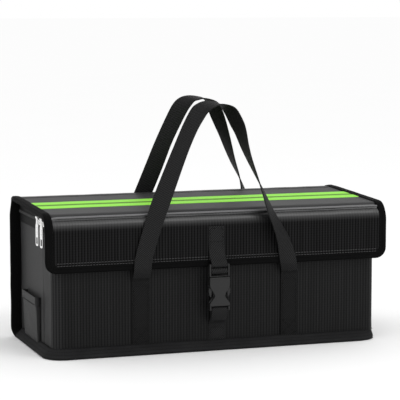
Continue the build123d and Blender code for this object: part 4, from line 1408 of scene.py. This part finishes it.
def sewn_leg(place, side, wall_y, out):
    """A leg sewn to the wall, which turns out towards its loop above the seam. Returns its sewing.
    """
    node = f"{place}_{side}_strap"
    x, z0, z1 = middle(node).x, low(node).z, high(node).z
    y = wall_y + out * 1.3 * MM
    path = [(0.0, z0 - 1.5 * MM), (0.0, z0 + 20 * MM), (0.0, z1 - 10 * MM), (1.2 * MM, z1),
            (3.2 * MM, z1 + 3.4 * MM)]
    leg = band(f"{place}_{side}_leg", [((x, y + out * off, z), (-out, 0, 0)) for off, z in path],
               SEWN_WEB, unit=1)
    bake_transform(leg)
    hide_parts(node)

    edge, half = WEBBING / 2 - 2.4 * MM, WEBBING / 2 - 2.6 * MM
    foot_z, cross_z, top_z = z0 + 3 * MM, z0 + 22 * MM, z1 - 9 * MM
    seams = [((e * edge, z0 + 2 * MM), (e * edge, top_z)) for e in (-1, 1)]
    seams += [((-half, z), (half, z)) for z in (foot_z, cross_z, top_z)]
    seams += [((-e * half, foot_z), (e * half, cross_z)) for e in (-1, 1)]
    face = wall_y + out * 2.3 * MM
    return [straight_run((x + a, face, p), (x + b, face, q), (0, out, 0))
            for (a, p), (b, q) in seams]


def make_legs():
    """The loops' four sewn legs, with a crossed box of sewing at each foot."""
    runs = []
    for place, wall_y, out in (("front", WALL_FRONT, -1), ("rear", BACK, 1)):
        for side, _ in SIDES:
            runs += sewn_leg(place, side, wall_y, out)
    dressed(stitches("strap_stitches", runs, BLACK_THREAD, width=0.7 * MM), "box", "webbing")


# ==== buckle ======================================================================
# Millimetres here, as for the loops: x across the bag, y back from its middle, and z up.
BUCKLE = middle("buckle_male") / MM
BUCKLE_HALF = (high("buckle_female").x - low("buckle_female").x) / 2 / MM
BUCKLE_MOUTH = high("buckle_female").z / MM
POST = 2.3                            # width of the buckle's two side posts
STRAP_WIDTH = high("buckle_strap_upper").x - low("buckle_strap_upper").x
STRAP_T = 1.5

# Each strap's route: offsets from where it is sewn on, then from the buckle's middle, where it
# goes round a bar and comes back. The third number is the height.
UPPER_SEWN = [(0, 0, 173.5), (0, -0.1, 160), (0.3, -0.4, 142), (1.0, -2.6, 131)]
UPPER_LACED = [
    (-0.3, -1.4, 124.6), (0, -2.5, 120.6), (0, -1.3, 118.2), (0, 1.0, 117.2), (0, 2.4, 114.5),
    (0, 2.4, 110.5), (0, 1.0, 108.7), (0, -1.2, 108.8), (0, -2.3, 110.6), (0, -2.3, 113.4),
    (0, -1.0, 115.1), (0, 1.6, 115.2), (0, 4.1, 112.5),
]
LOWER_SEWN = [(0, 0, 12.2), (0, 0, 27), (-0.3, -0.6, 37)]
LOWER_LACED = [
    (0.9, 6.0, 47), (0.2, 3.2, 55), (0, 2.5, 59.6), (0, 1.4, 62.2), (0, -0.8, 62.6),
    (0, -2.5, 60.4), (0, -2.4, 57.4), (0.3, -0.6, 51.6), (0.7, 2.6, 46), (0.8, 4.0, 43.4),
]


def buckle_strap(name, sewn_at, sewn, laced, step):
    """A strap from where it is sewn on to the bar of the buckle that it is laced round."""
    route = [(sewn_at, offset) for offset in sewn] + [(BUCKLE.xy, offset) for offset in laced]
    spans = [((at[0] + dx, at[1] + dy, z), (1, 0, 0)) for at, (dx, dy, z) in route]
    return band(name, spans, BUCKLE_WEB, STRAP_WIDTH, STRAP_T * MM, step)


def sew_strap(name, body, x, wall_y, heights):
    """Rows of sewing across a strap at some heights, and up its two sides between them."""
    half = STRAP_WIDTH / 2 - 2.2 * MM
    y = wall_y - (STRAP_T + 0.3) * MM
    seams = [((-half, z), (half, z)) for z in heights]
    seams += [((e * half, heights[0]), (e * half, heights[-1])) for e in (-1, 1)]
    runs = [straight_run((x + a, y, p * MM), (x + b, y, q * MM), (0, -1, 0))
            for (a, p), (b, q) in seams]
    dressed(stitches(name, runs, BLACK_THREAD, width=0.7 * MM), body, "webbing")


def make_buckle_straps():
    """The straps that the buckle joins: one down from the flap, one up from the tub's foot."""
    flap_x, foot_x = middle("buckle_strap_upper").x, middle("buckle_strap_lower").x
    upper = buckle_strap("upper_buckle_strap", (flap_x / MM, FRONT / MM - STRAP_T / 2),
                         UPPER_SEWN, UPPER_LACED, 1.0 * MM)
    dressed(upper, "lid", "webbing", "buckle_strap_upper")

    lower = buckle_strap("lower_buckle_strap", (foot_x / MM, WALL_FRONT / MM - STRAP_T / 2),
                         LOWER_SEWN, LOWER_LACED, 1.3 * MM)
    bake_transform(lower)
    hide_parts("buckle_strap_lower")

    sew_strap("flap_strap_stitches", "lid", flap_x, FRONT, (136, 152, 170.6))
    sew_strap("front_strap_stitches", "box", foot_x, WALL_FRONT, (15.5, 31))


def buckle_part(outlines, thickness, bevel, forward=0.0):
    """A moulded plate from outlines across the buckle and up from the base."""
    scaled = [[(a * MM, b * MM) for a, b in outline] for outline in outlines]
    origin = (BUCKLE.x * MM, (BUCKLE.y - forward) * MM, 0)
    return plate("part", scaled, thickness * MM, bevel * MM, PLASTIC, origin, (1, 0, 0),
                 (0, 0, 1))


def buckle_bar(low_z, high_z, thickness, bevel=0.6):
    """A cross bar that runs a little way into the two posts."""
    half = BUCKLE_HALF - POST + 0.6
    return buckle_part([box_outline(-half, low_z, half, high_z, 0.5)], thickness, bevel)


def buckle_posts(low_z, high_z, thickness, bevel):
    """The same length of both side posts."""
    return [
        buckle_part([box_outline(x, low_z, x + POST, high_z, 1.1)], thickness, bevel)
        for x in (-BUCKLE_HALF, BUCKLE_HALF - POST)
    ]


def make_buckle_ladder():
    """The upper half: a ladder that the strap is laced through, and a tongue below it."""
    top, foot = high("buckle_male").z / MM, BUCKLE_MOUTH + 0.4
    tongue = box_outline(-2.5, low("buckle_male").z / MM, 2.5, foot + 0.8, 1.0)
    parts = [
        buckle_bar(top - 3.2, top - 0.2, 3.0),
        buckle_bar(110.2, 113.8, 2.6),
        buckle_bar(foot, foot + 1.4, 5.0),
        buckle_part([tongue], 3, 0.5),
        *buckle_posts(foot, top, 6.0, 0.7),
    ]
    dressed(joined("buckle_ladder", parts), "buckle_male", "buckle_plastic", "buckle_male")


def make_buckle_arms():
    """Two springing arms, whose ribbed grips stand out of the socket's sides."""
    outline = rounded([
        (8.4, 103.5), (11.8, 103.5), (11.4, 95), (11.7, 89.8), (14.7, 89.3), (15.9, 86),
        (15.3, 81), (13.4, 76.4), (11.6, 76.4), (11.2, 82), (9.6, 92), (8.4, 96),
    ], [0.3, 0.3, 3, 0.8, 1.2, 2, 2.5, 1.0, 1.0, 4, 4, 3])
    for side, sign in SIDES:
        mirrored = [(sign * a, b) for a, b in outline][::sign]
        parts = [buckle_part([mirrored], 4.4, 0.8)]
        for k in range(4):
            x, z = sign * 14.6, 80.6 + 2.2 * k
            parts.append(buckle_part([box_outline(x - 1, z, x + 1, z + 1, 0.45)], 5.0, 0.3))
        node = f"buckle_{side}_arm"
        dressed(joined(f"{node}_grip", parts), node, "buckle_plastic", node)


def make_buckle_socket():
    """The lower half: two waisted faces, the side posts, a lip at its mouth and two bars."""
    half, foot = BUCKLE_HALF, low("buckle_female").z / MM
    waist = [(half, BUCKLE_MOUTH), (half, 91), (12.6, 87.4), (9.6, 83), (7.7, 79), (7.6, 76.4),
             (half, 67.6)]
    radii = [1.6, 3, 3, 4, 4, 1.5, 1.4]
    face = rounded([(-a, b) for a, b in waist] + [(-half, 63), (half, 63)] + waist[::-1],
                   [*radii, 0.2, 0.2, *radii[::-1]])
    lip = box_outline(-half + 1.6, BUCKLE_MOUTH - 2.2, half - 1.6, BUCKLE_MOUTH - 0.4, 0.8)
    parts = [
        buckle_part([face], 2.2, 1.0, 3.4),
        buckle_part([face], 2.2, 1.0, -3.4),
        buckle_bar(65.2, 67.8, 6.4, 0.5),
        buckle_bar(foot + 0.6, 61.4, 3.0, 1.0),
        buckle_part([lip], 1.0, 0.4, 4.6),
        *buckle_posts(foot, 68.0, 8.6, 0.9),
        *buckle_posts(91.4, BUCKLE_MOUTH - 0.6, 8.4, 0.9),
    ]
    dressed(joined("buckle_socket", parts), "buckle_female", "buckle_plastic", "buckle_female")


# ==== stiffening boards, kept as they are =========================================
def finish_boards():
    """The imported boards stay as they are, in the look of card."""
    for name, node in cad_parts.items():
        if name.endswith("_board"):
            node.data.materials.clear()
            node.data.materials.append(BOARD)


# ==== studio ======================================================================
def aimed(thing, position, target):
    """Stand a camera or a lamp at a position, turned to its target."""
    thing.location = position
    thing.rotation_mode = "QUATERNION"
    thing.rotation_quaternion = (Vector(target) - Vector(position)).to_track_quat("-Z", "Y")


def make_camera():
    """Long lens, low and to the left of the front."""
    target = Vector((3.3 * MM, 0, 198.3 * MM))
    azimuth, elevation, distance = radians(-18.9), radians(6.4), 2.563
    back = Vector((sin(azimuth) * cos(elevation), -cos(azimuth) * cos(elevation), sin(elevation)))
    data = bpy.data.cameras.new("camera")
    data.lens = 162.0
    data.sensor_width = 36.0
    camera = add_object("camera", data)
    aimed(camera, target + back * distance, target)
    bpy.context.scene.camera = camera


def softbox(name, position, target, width, height, power):
    data = bpy.data.lights.new(name, "AREA")
    data.shape = "RECTANGLE"
    data.size, data.size_y = width, height
    data.energy = power
    aimed(add_object(name, data), position, target)


def make_studio():
    """White surroundings and floor, and one long softbox at the front right."""
    world = bpy.data.worlds.new("studio")
    bpy.context.scene.world = world
    world.use_nodes = True
    backdrop = world.node_tree.nodes["Background"]
    backdrop.inputs["Color"].default_value = (1, 1, 1, 1)
    backdrop.inputs["Strength"].default_value = 1.0

    paint = Finish("floor_paper", 0.95, specular=0.0)
    paint.colour(paint.noise(3), grey(0.97), grey(0.98))
    corners = [(0, 0), (1, 0), (1, 1), (0, 1)]
    floor = finish_mesh("floor", [(80 * a - 40, 80 * b - 40, 0) for a, b in corners],
                        [(0, 1, 2, 3)], corners, paint.material)
    floor.location.z = -0.4 * MM

    softbox("front_box", (0.8, -1.6, 1.9), (0, 0, 0.15), 1.5, 0.35, 12)
    bpy.context.scene.view_settings.view_transform = "Standard"


make_camera()
make_studio()
make_lid_covers()
make_stripes()
make_piping()
make_lid_bindings()
make_front_wall()
for side, sign in SIDES:
    make_end_wall(side, sign)
make_wrap()
make_rim()
make_fold()
make_tub_lining()
make_lid_lining()
make_zip_tapes()
make_zip_teeth()
make_zip_sewing()
make_sliders()
make_pocket()
make_loops()
make_legs()
make_buckle_straps()
make_buckle_ladder()
make_buckle_arms()
make_buckle_socket()
finish_boards()
